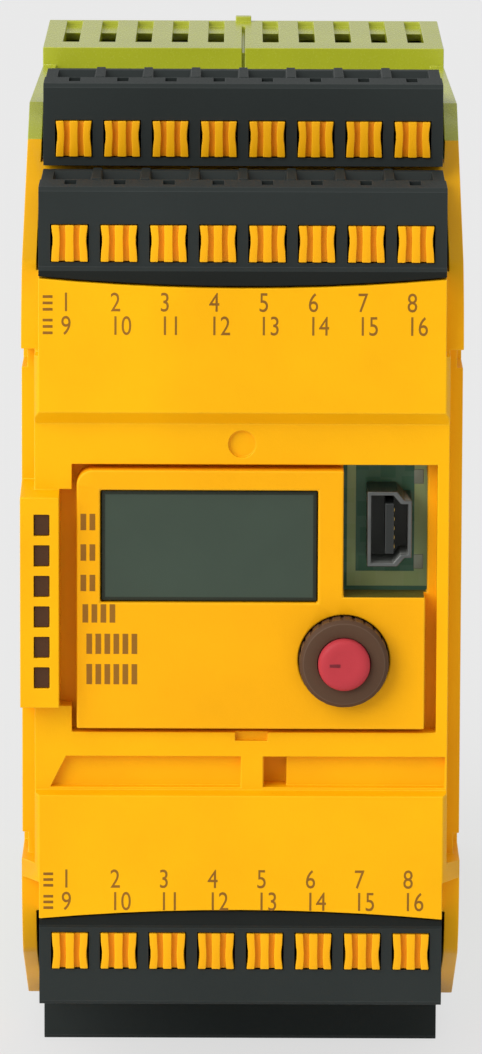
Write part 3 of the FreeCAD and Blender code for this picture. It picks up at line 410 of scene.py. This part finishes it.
def on_a_pin(point):
    for side, row_y, row_z in ROW_PLACES.values():
        depth = point.y / mm - row_y
        rise = side * point.z / mm - row_z
        near = min(abs(side * point.x / mm - pole) for pole in POLES) < PIN_HALF
        if near and PIN_DEPTH[0] < depth < PIN_DEPTH[1] and PIN_RISE[0] < rise < PIN_RISE[1]:
            return True
    return False


def finish_faces(piece, finish, test):
    """Gives the faces whose middle passes the test a finish of their own."""
    piece.data.materials.append(finish)
    number = len(piece.data.materials) - 1
    for face in piece.data.polygons:
        if test(face.center):
            face.material_index = number


shrouds = merged_copy("pin_headers", "shrouds")
eased(shrouds, SHROUD_EDGE, plastic_pair("header_nylon", HEADER_BLACK, roughness=0.5))
finish_faces(shrouds, tinned_pins, on_a_pin)
stands_for(shrouds, "housing", "header_black", "pin_headers")


# Front housing: the yellow shell over the boards, with the label panels, the bays for the
# terminals and the raised indicator bar. Injection moulded in bright yellow plastic,
# it snaps over the rim of the rear housing.

YELLOW = (254, 183, 4)
SHELL_EDGE = 0.1 * mm
front_shell = merged_copy("front_housing", "front_shell")
eased(front_shell, SHELL_EDGE, plastic_pair("yellow_moulding", YELLOW, roughness=0.45))
kept_in_box(front_shell, "front_housing")
stands_for(front_shell, "housing", "housing_yellow", "front_housing")


# Indicator light pipes: six small clear pegs in one moulding that carry the light of the
# indicators to the windows of the bar. Smoked acrylic, brown while unlit.

PIPE_BROWN = (78, 52, 34)
PIPE_EDGE = 0.1 * mm
pipe_pegs = merged_copy("led_light_pipes", "pipe_pegs")
eased(pipe_pegs, PIPE_EDGE, plastic_pair("smoked_acrylic", PIPE_BROWN, roughness=0.3))
stands_for(pipe_pegs, "housing", "light_pipe", "led_light_pipes")


# Control panel: the loose yellow insert round the display, the socket and the knob.
# Moulded like the front housing and held in its opening by a flange behind the edge.

PANEL_YELLOW = (252, 176, 6)
WINDOW_PAINTED_SHADE = (98, 94, 36)
PLATE_EDGE = 0.2 * mm
KNOB_X, KNOB_Z = 10.45 * mm, -6.15 * mm
HOLE_RADIUS = 4.975 * mm
HOLE_SHARE = 0.937
WINDOW_FLOOR = 0.37 * mm
WINDOW_X = (10.35 * mm, 18.95 * mm)
NEAR = 0.02 * mm


def on_window_floor(point):
    level = abs(point.z - WINDOW_FLOOR) < NEAR
    return level and WINDOW_X[0] < point.x < WINDOW_X[1]


control_plate = merged_copy("control_panel", "control_plate")
bpy.ops.object.mode_set(mode="EDIT")
bpy.ops.mesh.select_mode(type="VERT")
bpy.ops.mesh.select_all(action="DESELECT")
bpy.ops.object.mode_set(mode="OBJECT")
for point in control_plate.data.vertices:
    out = math.hypot(point.co.x - KNOB_X, point.co.z - KNOB_Z)
    point.select = abs(out - HOLE_RADIUS) < NEAR
bpy.ops.object.mode_set(mode="EDIT")
bpy.ops.transform.resize(value=(HOLE_SHARE, 1, HOLE_SHARE), center_override=(KNOB_X, 0, KNOB_Z))
bpy.ops.object.mode_set(mode="OBJECT")
eased(control_plate, PLATE_EDGE, plastic_pair("panel_moulding", PANEL_YELLOW, roughness=0.45))
# Painted shade: the floor of the socket window's notch is coloured dark olive, standing for its
# shade and the green board's reflection.
window_shade_finish = moulded_plastic("window_floor_painted_shade", WINDOW_PAINTED_SHADE, roughness=0.5)
finish_faces(control_plate, window_shade_finish, on_window_floor)
stands_for(control_plate, "housing", "panel_yellow", "control_panel")


# Display: a flat liquid-crystal panel behind a clear cover, off, so it shows grey-green.
# The cover is cut acrylic with a dark border, partly print and partly painted shade from the
# window's frame; its carrier behind it is a plain moulded frame that stands on the front board.

GLASS_GREEN = (58, 72, 60)
BORDER_PRINT_AND_SHADE = (46, 52, 44)
GLASS_BORDER = 0.3 * mm
COVER_EDGE = 0.1 * mm
CARRIER_BLACK = (48, 50, 50)
CARRIER_EDGE = 0.1 * mm


def facing(piece, direction, reach=0.9):
    """Leaves edit mode on with only the faces that look that way selected."""
    only(piece)
    bpy.ops.object.mode_set(mode="EDIT")
    bpy.ops.mesh.select_mode(type="FACE")
    bpy.ops.mesh.select_all(action="DESELECT")
    bpy.ops.object.mode_set(mode="OBJECT")
    for face in piece.data.polygons:
        face.select = face.normal.dot(Vector(direction)) > reach
    bpy.ops.object.mode_set(mode="EDIT")


FRONT = (0, -1, 0)
cover_low, cover_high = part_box("lcd_glass")
cover_middle = (cover_low + cover_high) / 2
bpy.ops.object.select_all(action="DESELECT")
bpy.ops.mesh.primitive_cube_add(size=1, location=cover_middle, scale=cover_high - cover_low)
display_cover = bpy.context.object
display_cover.name = "display_cover"
bpy.ops.object.transform_apply(location=True, rotation=True, scale=True)
for finish in (
    moulded_plastic("display_border_and_shade", BORDER_PRINT_AND_SHADE, roughness=0.3),
    moulded_plastic(
        "display_off",
        GLASS_GREEN,
        roughness=0.2,
        gloss=0.3,
        grain=0.35 * mm,
        relief=0.002 * mm,
        drift=0.1,
    ),
):
    display_cover.data.materials.append(finish)
facing(display_cover, FRONT)
bpy.ops.mesh.bevel(offset=COVER_EDGE, segments=2)
bpy.ops.object.mode_set(mode="OBJECT")
facing(display_cover, FRONT, 0.999)
# The dark outer ring is partly a printed border and partly painted shade of the window's frame on
# the cover.
bpy.ops.mesh.inset(thickness=GLASS_BORDER, depth=0)
bpy.context.object.active_material_index = 1
bpy.ops.object.material_slot_assign()
bpy.ops.object.mode_set(mode="OBJECT")
bpy.ops.object.shade_smooth_by_angle(angle=SMOOTH_BELOW)
stands_for(display_cover, "housing", "display_glass", "lcd_glass")
carrier = merged_copy("lcd_frame", "display_carrier")
eased(carrier, CARRIER_EDGE, plastic_pair("carrier_black", CARRIER_BLACK, roughness=0.5))
stands_for(carrier, "housing", "header_black", "lcd_frame")


# Socket: a small upright data socket soldered to the front board behind its window.
# A folded tinned-steel shell round a black insert with five contacts on its tongue;
# its feet are soldered to two pads on the board, inside a band of bare ground copper drawn pale
# as painted light against the deep shade of the window.

SHELL_STEEL = (112, 114, 112)
INSERT_BLACK = (51, 53, 52)
SLEEVE_PAINTED_LIGHT = (118, 120, 116)
SOCKET_EDGE = 0.1 * mm
RIM = 0.25 * mm
SLEEVE_WALL = 0.35 * mm
SUNK = 0.02 * mm
CONTACT_GOLD = (198, 164, 92)
CONTACTS = 5
CONTACT_PITCH = 0.95 * mm
CONTACT_HALF = 0.2 * mm
CONTACT_RISE = 0.08 * mm
CONTACT_SETBACK = 0.4 * mm
CONTACT_EDGE = 0.03 * mm
SOLDER_TIN = (168, 174, 156)
PADS = ((18.15, 11.6), (18.15, 2.75))
PAD_HALF = (0.5 * mm, 0.75 * mm)
PAD_RISE = 0.08 * mm
PAD_EDGE = 0.04 * mm
BAND_PAINTED_LIGHT = (190, 216, 150)
BAND_LIGHT = 0.06
BAND_RUNS = (
    ((10.8, 11.7), (0.2, 13.0)),
    ((17.7, 19.4), (0.2, 13.0)),
    ((11.7, 17.7), (0.2, 1.75)),
)
BAND_RISE = 0.03 * mm
BAND_EDGE = 0.01 * mm
shell_low, shell_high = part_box("usb_shell")
insert_finishes = plastic_pair("socket_insert", INSERT_BLACK, roughness=0.5)


def inside_shell(point):
    across = shell_low.x + SLEEVE_WALL < point.x < shell_high.x - SLEEVE_WALL
    along = shell_low.z + SLEEVE_WALL < point.z < shell_high.z - SLEEVE_WALL
    return across and along and point.y > shell_low.y + RIM


socket_shell = merged_copy("usb_shell", "socket_shell")
eased(socket_shell, SOCKET_EDGE, [drawn_metal("tinned_steel", SHELL_STEEL, roughness=0.38)])
# Painted light: the shell's inner walls, steel on the real socket, get a pale grey finish that
# lifts the shade deep inside the socket.
sleeve_light_finish = moulded_plastic("socket_sleeve_painted_light", SLEEVE_PAINTED_LIGHT, roughness=0.5)
finish_faces(socket_shell, sleeve_light_finish, inside_shell)
stands_for(socket_shell, "housing", "socket_metal", "usb_shell")
socket_tongue = merged_copy("usb_tongue", "socket_tongue")
eased(socket_tongue, SOCKET_EDGE, insert_finishes)
stands_for(socket_tongue, "housing", "socket_insert", "usb_tongue")


def block_piece(name, low, high, edge, finishes):
    """A small block between two corners, its edges rounded."""
    bpy.ops.object.select_all(action="DESELECT")
    low, high = Vector(low), Vector(high)
    bpy.ops.mesh.primitive_cube_add(size=1, location=(low + high) / 2, scale=high - low)
    piece = bpy.context.object
    piece.name = name
    bpy.ops.object.transform_apply(location=True, rotation=True, scale=True)
    return eased(piece, edge, finishes)


tongue_low, tongue_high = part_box("usb_tongue")
contact = block_piece(
    "contact_1",
    (tongue_high.x - SUNK, tongue_low.y + CONTACT_SETBACK, -CONTACT_HALF),
    (tongue_high.x + CONTACT_RISE, tongue_high.y, CONTACT_HALF),
    CONTACT_EDGE,
    [drawn_metal("contact_gold", CONTACT_GOLD, roughness=0.25)],
)
contacts = []
for place in range(CONTACTS):
    middle = (tongue_low.z + tongue_high.z) / 2
    rise = middle + (place - (CONTACTS - 1) / 2) * CONTACT_PITCH
    contacts.append(copied(contact, "contact", Matrix.Translation((0, 0, rise))))
bpy.data.objects.remove(contact)
socket_contacts = joined(contacts, "socket_contacts")
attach(socket_contacts, "housing")

board_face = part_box("front_board")[0].y
solder = drawn_metal("solder_tin", SOLDER_TIN, roughness=0.5)
pads = []
for x, z in PADS:
    low = (x * mm - PAD_HALF[0], board_face - PAD_RISE, z * mm - PAD_HALF[1])
    high = (x * mm + PAD_HALF[0], board_face + SUNK, z * mm + PAD_HALF[1])
    pads.append(block_piece("pad", low, high, PAD_EDGE, [solder]))
socket_pads = joined(pads, "socket_pads")
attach(socket_pads, "housing")

# Painted light: the band's pale colour lifts the deep shade at the window's edges.
band_painted_light = solder_mask("band_painted_light", BAND_PAINTED_LIGHT, lighter(BAND_PAINTED_LIGHT, BAND_LIGHT))
runs = []
for (left, right), (foot, head) in BAND_RUNS:
    low = (left * mm, board_face - BAND_RISE, foot * mm)
    high = (right * mm, board_face + SUNK, head * mm)
    runs.append(block_piece("run", low, high, BAND_EDGE, [band_painted_light]))
ground_band = joined(runs, "ground_band")
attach(ground_band, "housing")


# Knob: a dark grip ring with a red cap pressed into it, on the shaft of a push-and-turn
# encoder. Ring and cap are moulded, the ring with shallow flutes; ring, cap and shaft
# turn together and the push goes down through the shaft to the plunger.

GRIP_BROWN = (88, 65, 49)
CAP_RED = (188, 60, 68)
FLUTES = 24
FLUTE_SIDES = 3
FLUTE_MARGIN = 0.06 * mm
FLUTE_DEPTH = 0.14 * mm
GRIP_CLEAR = 0.02 * mm
GRIP_ROUND = 0.4 * mm
GRIP_RISE = 0.38 * mm
GRIP_EDGE = 0.05 * mm
WELL_CLEAR = 0.12 * mm
WELL_DRAFT = 0.04 * mm
WELL_DEPTH = 1.0 * mm
NO_FACE = 2
CAP_SIDES = 64
CAP_RISE = 0.45 * mm
CAP_RINGS = ((0.18, 0.26), (0.3, 0.14), (0.5, 0.05), (0.35, -0.04), (0.5, -0.03))
CAP_SMOOTH = math.radians(50)
MARK_RED = (120, 42, 50)
MARK_X = (-1.5 * mm, -0.4 * mm)
MARK_Y = (0.005 * mm, 0.14 * mm)
MARK_HALF = 0.16 * mm
MARK_EDGE = 0.03 * mm
ENCODER_STEEL = (170, 170, 168)
ENCODER_EDGE = 0.1 * mm
ENCODER_RIDES = {
    "encoder_body": "housing",
    "encoder_plunger": "knob_push",
    "encoder_shaft": "knob",
}
ring_low, ring_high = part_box("knob_ring")
cap_low, cap_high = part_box("knob_cap")


def round_blank(name, radius, front, rear, sides):
    """A round blank along the depth, to be shaped from its front face."""
    bpy.ops.object.select_all(action="DESELECT")
    bpy.ops.mesh.primitive_cylinder_add(
        vertices=sides,
        radius=radius,
        depth=rear - front,
        location=(KNOB_X, (front + rear) / 2, KNOB_Z),
        rotation=(math.pi / 2, 0, 0),
    )
    piece = bpy.context.object
    piece.name = name
    bpy.ops.object.transform_apply(location=True, rotation=True, scale=True)
    return piece


grip_radius = (ring_high.x - ring_low.x) / 2
cap_radius = (cap_high.x - cap_low.x) / 2
grip_sides = FLUTE_SIDES * FLUTES
knob_grip = round_blank(
    "knob_grip", grip_radius - GRIP_CLEAR, ring_low.y + GRIP_ROUND, ring_high.y, grip_sides
)
facing(knob_grip, FRONT)
bpy.ops.mesh.inset(thickness=GRIP_ROUND, depth=GRIP_RISE)
bpy.ops.mesh.inset(thickness=grip_radius - GRIP_ROUND - cap_radius - WELL_CLEAR, depth=0)
bpy.ops.mesh.inset(thickness=WELL_DRAFT, depth=-WELL_DEPTH)
bpy.ops.object.mode_set(mode="OBJECT")
facing(knob_grip, FRONT, NO_FACE)
bpy.ops.object.mode_set(mode="OBJECT")
for face in knob_grip.data.polygons:
    around = math.atan2(face.center.z - KNOB_Z, face.center.x - KNOB_X)
    place = round(around / (2 * math.pi) * grip_sides - 0.5)
    outer = math.hypot(face.center.z - KNOB_Z, face.center.x - KNOB_X) > 0.95 * grip_radius
    face.select = outer and abs(face.normal.y) < 0.1 and place % FLUTE_SIDES == 0
bpy.ops.object.mode_set(mode="EDIT")
bpy.ops.mesh.inset(thickness=FLUTE_MARGIN, depth=-FLUTE_DEPTH, use_individual=True)
bpy.ops.object.mode_set(mode="OBJECT")
grip_finishes = plastic_pair("knob_plastic", GRIP_BROWN, roughness=0.5)
eased(knob_grip, GRIP_EDGE, grip_finishes, segments=2, angle=25)
stands_for(knob_grip, "knob", "knob_dark", "knob_ring")

knob_crown = round_blank("knob_crown", cap_radius, cap_low.y + CAP_RISE, cap_high.y, CAP_SIDES)
facing(knob_crown, FRONT)
for thickness, depth in CAP_RINGS:
    bpy.ops.mesh.inset(thickness=thickness * mm, depth=depth * mm)
bpy.ops.object.mode_set(mode="OBJECT")
for finish in plastic_pair("cap_plastic", CAP_RED, roughness=0.42):
    knob_crown.data.materials.append(finish)
bpy.ops.object.shade_smooth_by_angle(angle=CAP_SMOOTH)
stands_for(knob_crown, "knob", "knob_red", "knob_cap")

cap_mark = block_piece(
    "cap_mark",
    (KNOB_X + MARK_X[0], cap_low.y + MARK_Y[0], KNOB_Z - MARK_HALF),
    (KNOB_X + MARK_X[1], cap_low.y + MARK_Y[1], KNOB_Z + MARK_HALF),
    MARK_EDGE,
    plastic_pair("mark_ink", MARK_RED, roughness=0.5),
)
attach(cap_mark, "knob")

encoder_steel = drawn_metal("encoder_steel", ENCODER_STEEL, roughness=0.4)
for node, body in ENCODER_RIDES.items():
    encoder_piece = merged_copy(node, node + "_turned")
    eased(encoder_piece, ENCODER_EDGE, [encoder_steel])
    stands_for(encoder_piece, body, "encoder_metal", node)


# Terminal blocks: four plug-in blocks of eight poles, two above and two below.
# Black glass-filled nylon mouldings with a wire funnel, a test opening and a lever window
# for each pole, the front ones darker on the lip next to the panel as painted shade; each slides
# onto the pins of its header.

BLOCK_BLACK = (45, 50, 49)
BLOCK_EDGE = 0.035 * mm
CLAMP_BRASS = (186, 176, 150)
CLAMP_EDGE = 0.05 * mm
LIP_PAINTED_SHADE = (30, 33, 31)
LIP_TOP = 33.95 * mm
LIP_REAR = -109.5 * mm
TURNED_OVER = Matrix.Rotation(math.pi, 4, "Y")
block_finishes = plastic_pair("block_nylon", BLOCK_BLACK, roughness=0.6, gloss=0.1)
clamp_metal = drawn_metal("clamp_metal", CLAMP_BRASS, roughness=0.35)
# Painted shade: the faces of the front blocks low and forward next to the panel are coloured
# darker, standing for the shade there.
lip_shade_finish = moulded_plastic("lip_painted_shade", LIP_PAINTED_SHADE, roughness=0.6, gloss=0.1)


def on_the_lip(point):
    return point.z < LIP_TOP and point.y < LIP_REAR


for step in ("front", "rear"):
    upper = merged_copy("terminal_top_" + step, "block_top_" + step)
    eased(upper, BLOCK_EDGE, block_finishes)
    if step == "front":
        finish_faces(upper, lip_shade_finish, on_the_lip)
    lower = copied(upper, "block_bottom_" + step, TURNED_OVER)
    upper_clamps = merged_copy("clamps_top_" + step, "clamp_strip_top_" + step)
    eased(upper_clamps, CLAMP_EDGE, [clamp_metal])
    lower_clamps = copied(upper_clamps, "clamp_strip_bottom_" + step, TURNED_OVER)
    for end, block, clamps in (("top_", upper, upper_clamps), ("bottom_", lower, lower_clamps)):
        stands_for(block, "block_" + end + step, "terminal_black", "terminal_" + end + step)
        stands_for(clamps, "block_" + end + step, "clamp_metal", "clamps_" + end + step)


# Release levers: thirty-two orange-yellow push keys, one in front of each clamp.
# Moulded with two finger grooves and a slight waist; pressing one opens its clamp spring.

LEVER_ORANGE = (253, 178, 14)
GROOVE_PAINTED_SHADE = (236, 154, 16)
GROOVE_DEPTHS = (0.15 * mm, 0.6 * mm)
GROOVE_SPAN = (0.4 * mm, 1.1 * mm)
KEY_EDGE = 0.09 * mm
WAIST = ((-0.7, 0.965), (0.0, 0.94), (0.7, 0.965))


def middle_of(node):
    low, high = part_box(node)
    return (low + high) / 2


first_lever = "lever_top_front_1"
first_middle = middle_of(first_lever)
first_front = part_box(first_lever)[0].y


def in_a_groove(point):
    deep = GROOVE_DEPTHS[0] < point.y - first_front < GROOVE_DEPTHS[1]
    return deep and GROOVE_SPAN[0] < abs(point.x - first_middle.x) < GROOVE_SPAN[1]


master_key = merged_copy(first_lever, "key_master")
bpy.ops.object.mode_set(mode="EDIT")
for rise, share in WAIST:
    level = first_middle.z + rise * mm
    core = (first_middle.x, first_middle.y, level)
    bpy.ops.mesh.select_all(action="SELECT")
    bpy.ops.mesh.bisect(plane_co=(0, 0, level), plane_no=(0, 0, 1))
    bpy.ops.transform.resize(value=(share, 1, 1), center_override=core)
bpy.ops.object.mode_set(mode="OBJECT")
eased(master_key, KEY_EDGE, plastic_pair("lever_moulding", LEVER_ORANGE, roughness=0.38))
# Painted shade: the faces deep in the finger grooves are coloured a darker orange, standing for
# the shade in them.
groove_shade_finish = moulded_plastic("lever_groove_painted_shade", GROOVE_PAINTED_SHADE, roughness=0.45)
finish_faces(master_key, groove_shade_finish, in_a_groove)
for row, (side, *_) in ROW_PLACES.items():
    turn = Matrix.Identity(4) if side > 0 else TURNED_OVER
    for number in range(1, len(POLES) + 1):
        node = "lever_" + row + "_" + str(number)
        seat = Matrix.Translation(middle_of(node)) @ turn @ Matrix.Translation(-first_middle)
        key = copied(master_key, "key_" + row + "_" + str(number), seat)
        stands_for(key, node, "lever_orange", node)
bpy.data.objects.remove(master_key)


# Print: the plain numbers of the poles and the marks beside the indicators.
# Pad printed in brown ink on the yellow faces, a few hundredths of a millimetre thick.

INK_BROWN = (146, 98, 27)
INK = 0.012 * mm
PANEL_Y = -111.0 * mm
CONTROL_Y = -110.3 * mm
NUMBER_ROWS = ((30.65, 28.25), (-29.0, -31.35))
NUMBER_INSET = 0.9
NUMBER_HEIGHT = 2.0
FIGURE_SHARE = 0.72
FIGURE_NARROW = 0.8
ROW_BARS = (31.3, 30.65, 30.0, 28.9, 28.25, 27.6, -28.4, -29.0, -29.6, -30.75, -31.35, -31.95)
ROW_BAR_X = (-20.2, -19.2)
ROW_BAR_HALF = 0.14
BAR_EDGE = 0.005 * mm
LED_ROWS = [8.07 - 3.15 * led for led in range(6)]
MARK_STARTS = (-16.4, -16.4, -16.4, -16.2, -15.8, -15.8)
MARK_STROKES = (2, 2, 2, 4, 6, 6)
MARK_HALVES = (0.85, 0.85, 0.85, 0.95, 1.05, 1.05)
STROKE_PITCH = 0.92
STROKE_WIDTH = 0.58
ink = moulded_plastic(
    "brown_ink",
    INK_BROWN,
    roughness=0.6,
    gloss=0.2,
    grain=0.3 * mm,
    relief=0.004 * mm,
    drift=0.12,
)


def number_print(text, x, z, height):
    """A number with its left edge at x and its middle at z, printed on the label panel."""
    bpy.ops.object.select_all(action="DESELECT")
    bpy.ops.object.text_add()
    figure = bpy.context.object
    figure.data.body = text
    figure.data.align_y = "CENTER"
    figure.data.size = height * mm / FIGURE_SHARE
    figure.data.resolution_u = 4
    figure.data.extrude = INK
    bpy.ops.object.convert(target="MESH")
    narrow = Matrix.Diagonal((FIGURE_NARROW, 1, 1, 1))
    stand = Matrix.Rotation(math.pi / 2, 4, "X")
    figure.data.transform(Matrix.Translation((x * mm, PANEL_Y, z * mm)) @ stand @ narrow)
    return figure


def bar_print(x, y, z):
    """A short printed bar between two x and two z places on a face at y."""
    low = (x[0] * mm, y - INK, z[0] * mm)
    high = (x[1] * mm, y + INK, z[1] * mm)
    return block_piece("bar", low, high, BAR_EDGE, [])


figures = []
for rows in NUMBER_ROWS:
    for pole, x in enumerate(POLES, 1):
        for z, number in zip(rows, (pole, pole + len(POLES))):
            figures.append(number_print(str(number), x - NUMBER_INSET, z, NUMBER_HEIGHT))
pole_numbers = joined(figures, "pole_numbers")
pole_numbers.data.materials.append(ink)
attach(pole_numbers, "housing")

bars = []
for z in ROW_BARS:
    bars.append(bar_print(ROW_BAR_X, PANEL_Y, (z - ROW_BAR_HALF, z + ROW_BAR_HALF)))
for z, first, strokes, half in zip(LED_ROWS, MARK_STARTS, MARK_STROKES, MARK_HALVES):
    for stroke in range(strokes):
        x = first + stroke * STROKE_PITCH
        bars.append(bar_print((x, x + STROKE_WIDTH), CONTROL_Y, (z - half, z + half)))
face_marks = joined(bars, "face_marks")
face_marks.data.materials.append(ink)
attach(face_marks, "housing")


# Floor, light and camera: a pale studio sweep with soft light from the front, above and
# to the left, and a long lens a little above the middle of the front.

FLOOR_Z = cad_low.z - 0.05 * mm
FLOOR_GREY = (236, 236, 236)
FLOOR_TONE = (233, 233, 233)
FLOOR_SIZE = 30
PAPER_SHARE = 0.84
SKY_LIGHT = (0.8, 0.3)
EYE_AIM = Vector((-0.082, -110.5, 7.645)) * mm
EYE_TILT = math.radians(10)
EYE_REACH = 750 * mm
EYE_ROLL = math.radians(0.2)
EYE_LENS = 252.06

bpy.ops.object.select_all(action="DESELECT")
bpy.ops.mesh.primitive_plane_add(size=FLOOR_SIZE, location=(0, 0, FLOOR_Z))
floor = bpy.context.object
floor.name = "studio_floor"


def studio_paper(name, colour, level, share):
    """Pale paper that keeps a soft shadow; most of what is seen of it is its own even tone."""
    finish = bpy.data.materials.new(name)
    finish.use_nodes = True
    tree = finish.node_tree
    shader = tree.nodes["Principled BSDF"]
    shader.inputs["Base Color"].default_value = (*mixed(*colour), 1)
    shader.inputs["Roughness"].default_value = 0.95
    shader.inputs["Specular IOR Level"].default_value = 0
    glow = tree.nodes.new("ShaderNodeEmission")
    glow.inputs["Color"].default_value = (*mixed(*level), 1)
    seen = tree.nodes.new("ShaderNodeLightPath")
    rays = tree.nodes.new("ShaderNodeMath")
    rays.operation = "MAXIMUM"
    more_rays = tree.nodes.new("ShaderNodeMath")
    more_rays.operation = "MAXIMUM"
    part = tree.nodes.new("ShaderNodeMath")
    part.operation = "MULTIPLY"
    part.inputs[1].default_value = share
    blend = tree.nodes.new("ShaderNodeMixShader")
    join = tree.links.new
    join(seen.outputs["Is Camera Ray"], rays.inputs[0])
    join(seen.outputs["Is Glossy Ray"], rays.inputs[1])
    join(rays.outputs[0], more_rays.inputs[0])
    join(seen.outputs["Is Transmission Ray"], more_rays.inputs[1])
    join(more_rays.outputs[0], part.inputs[0])
    join(part.outputs[0], blend.inputs["Fac"])
    join(shader.outputs["BSDF"], blend.inputs[1])
    join(glow.outputs["Emission"], blend.inputs[2])
    join(blend.outputs["Shader"], tree.nodes["Material Output"].inputs["Surface"])
    return finish


floor.data.materials.append(studio_paper("floor_paper", FLOOR_GREY, FLOOR_TONE, PAPER_SHARE))

world = bpy.data.worlds.new("studio")
bpy.context.scene.world = world
world.use_nodes = True
sky = world.node_tree.nodes["Background"]
sky.inputs["Color"].default_value = (1, 1, 1, 1)
way = world.node_tree.nodes.new("ShaderNodeTexCoord")
parts = world.node_tree.nodes.new("ShaderNodeSeparateXYZ")
fall = world.node_tree.nodes.new("ShaderNodeMapRange")
fall.inputs["From Min"].default_value = -1
fall.inputs["To Min"].default_value = SKY_LIGHT[0]
fall.inputs["To Max"].default_value = SKY_LIGHT[1]
world.node_tree.links.new(way.outputs["Generated"], parts.inputs["Vector"])
world.node_tree.links.new(parts.outputs["X"], fall.inputs["Value"])
world.node_tree.links.new(fall.outputs["Result"], sky.inputs["Strength"])


def soft_lamp(name, aim, strength, spread):
    lamp = bpy.data.lights.new(name, "SUN")
    lamp.energy = strength
    lamp.angle = math.radians(spread)
    holder = bpy.data.objects.new(name, lamp)
    bpy.context.scene.collection.objects.link(holder)
    holder.rotation_mode = "QUATERNION"
    holder.rotation_quaternion = Vector(aim).to_track_quat("-Z", "Y")


soft_lamp("key_lamp", aim=(0.74, 0.72, -0.6), strength=1.79, spread=50)
soft_lamp("top_lamp", aim=(-0.2, 0.2, -1.0), strength=0.5, spread=70)

lens = bpy.data.cameras.new("camera")
lens.lens = EYE_LENS
lens.clip_start = 0.05
lens.clip_end = 60
eye = bpy.data.objects.new("camera", lens)
bpy.context.scene.collection.objects.link(eye)
look = Vector((0, math.cos(EYE_TILT), -math.sin(EYE_TILT)))
turn = Matrix.Rotation(math.radians(90) - EYE_TILT, 4, "X") @ Matrix.Rotation(EYE_ROLL, 4, "Z")
eye.matrix_world = Matrix.Translation(EYE_AIM - look * EYE_REACH) @ turn
bpy.context.scene.camera = eye
bpy.context.scene.view_settings.view_transform = "Standard"
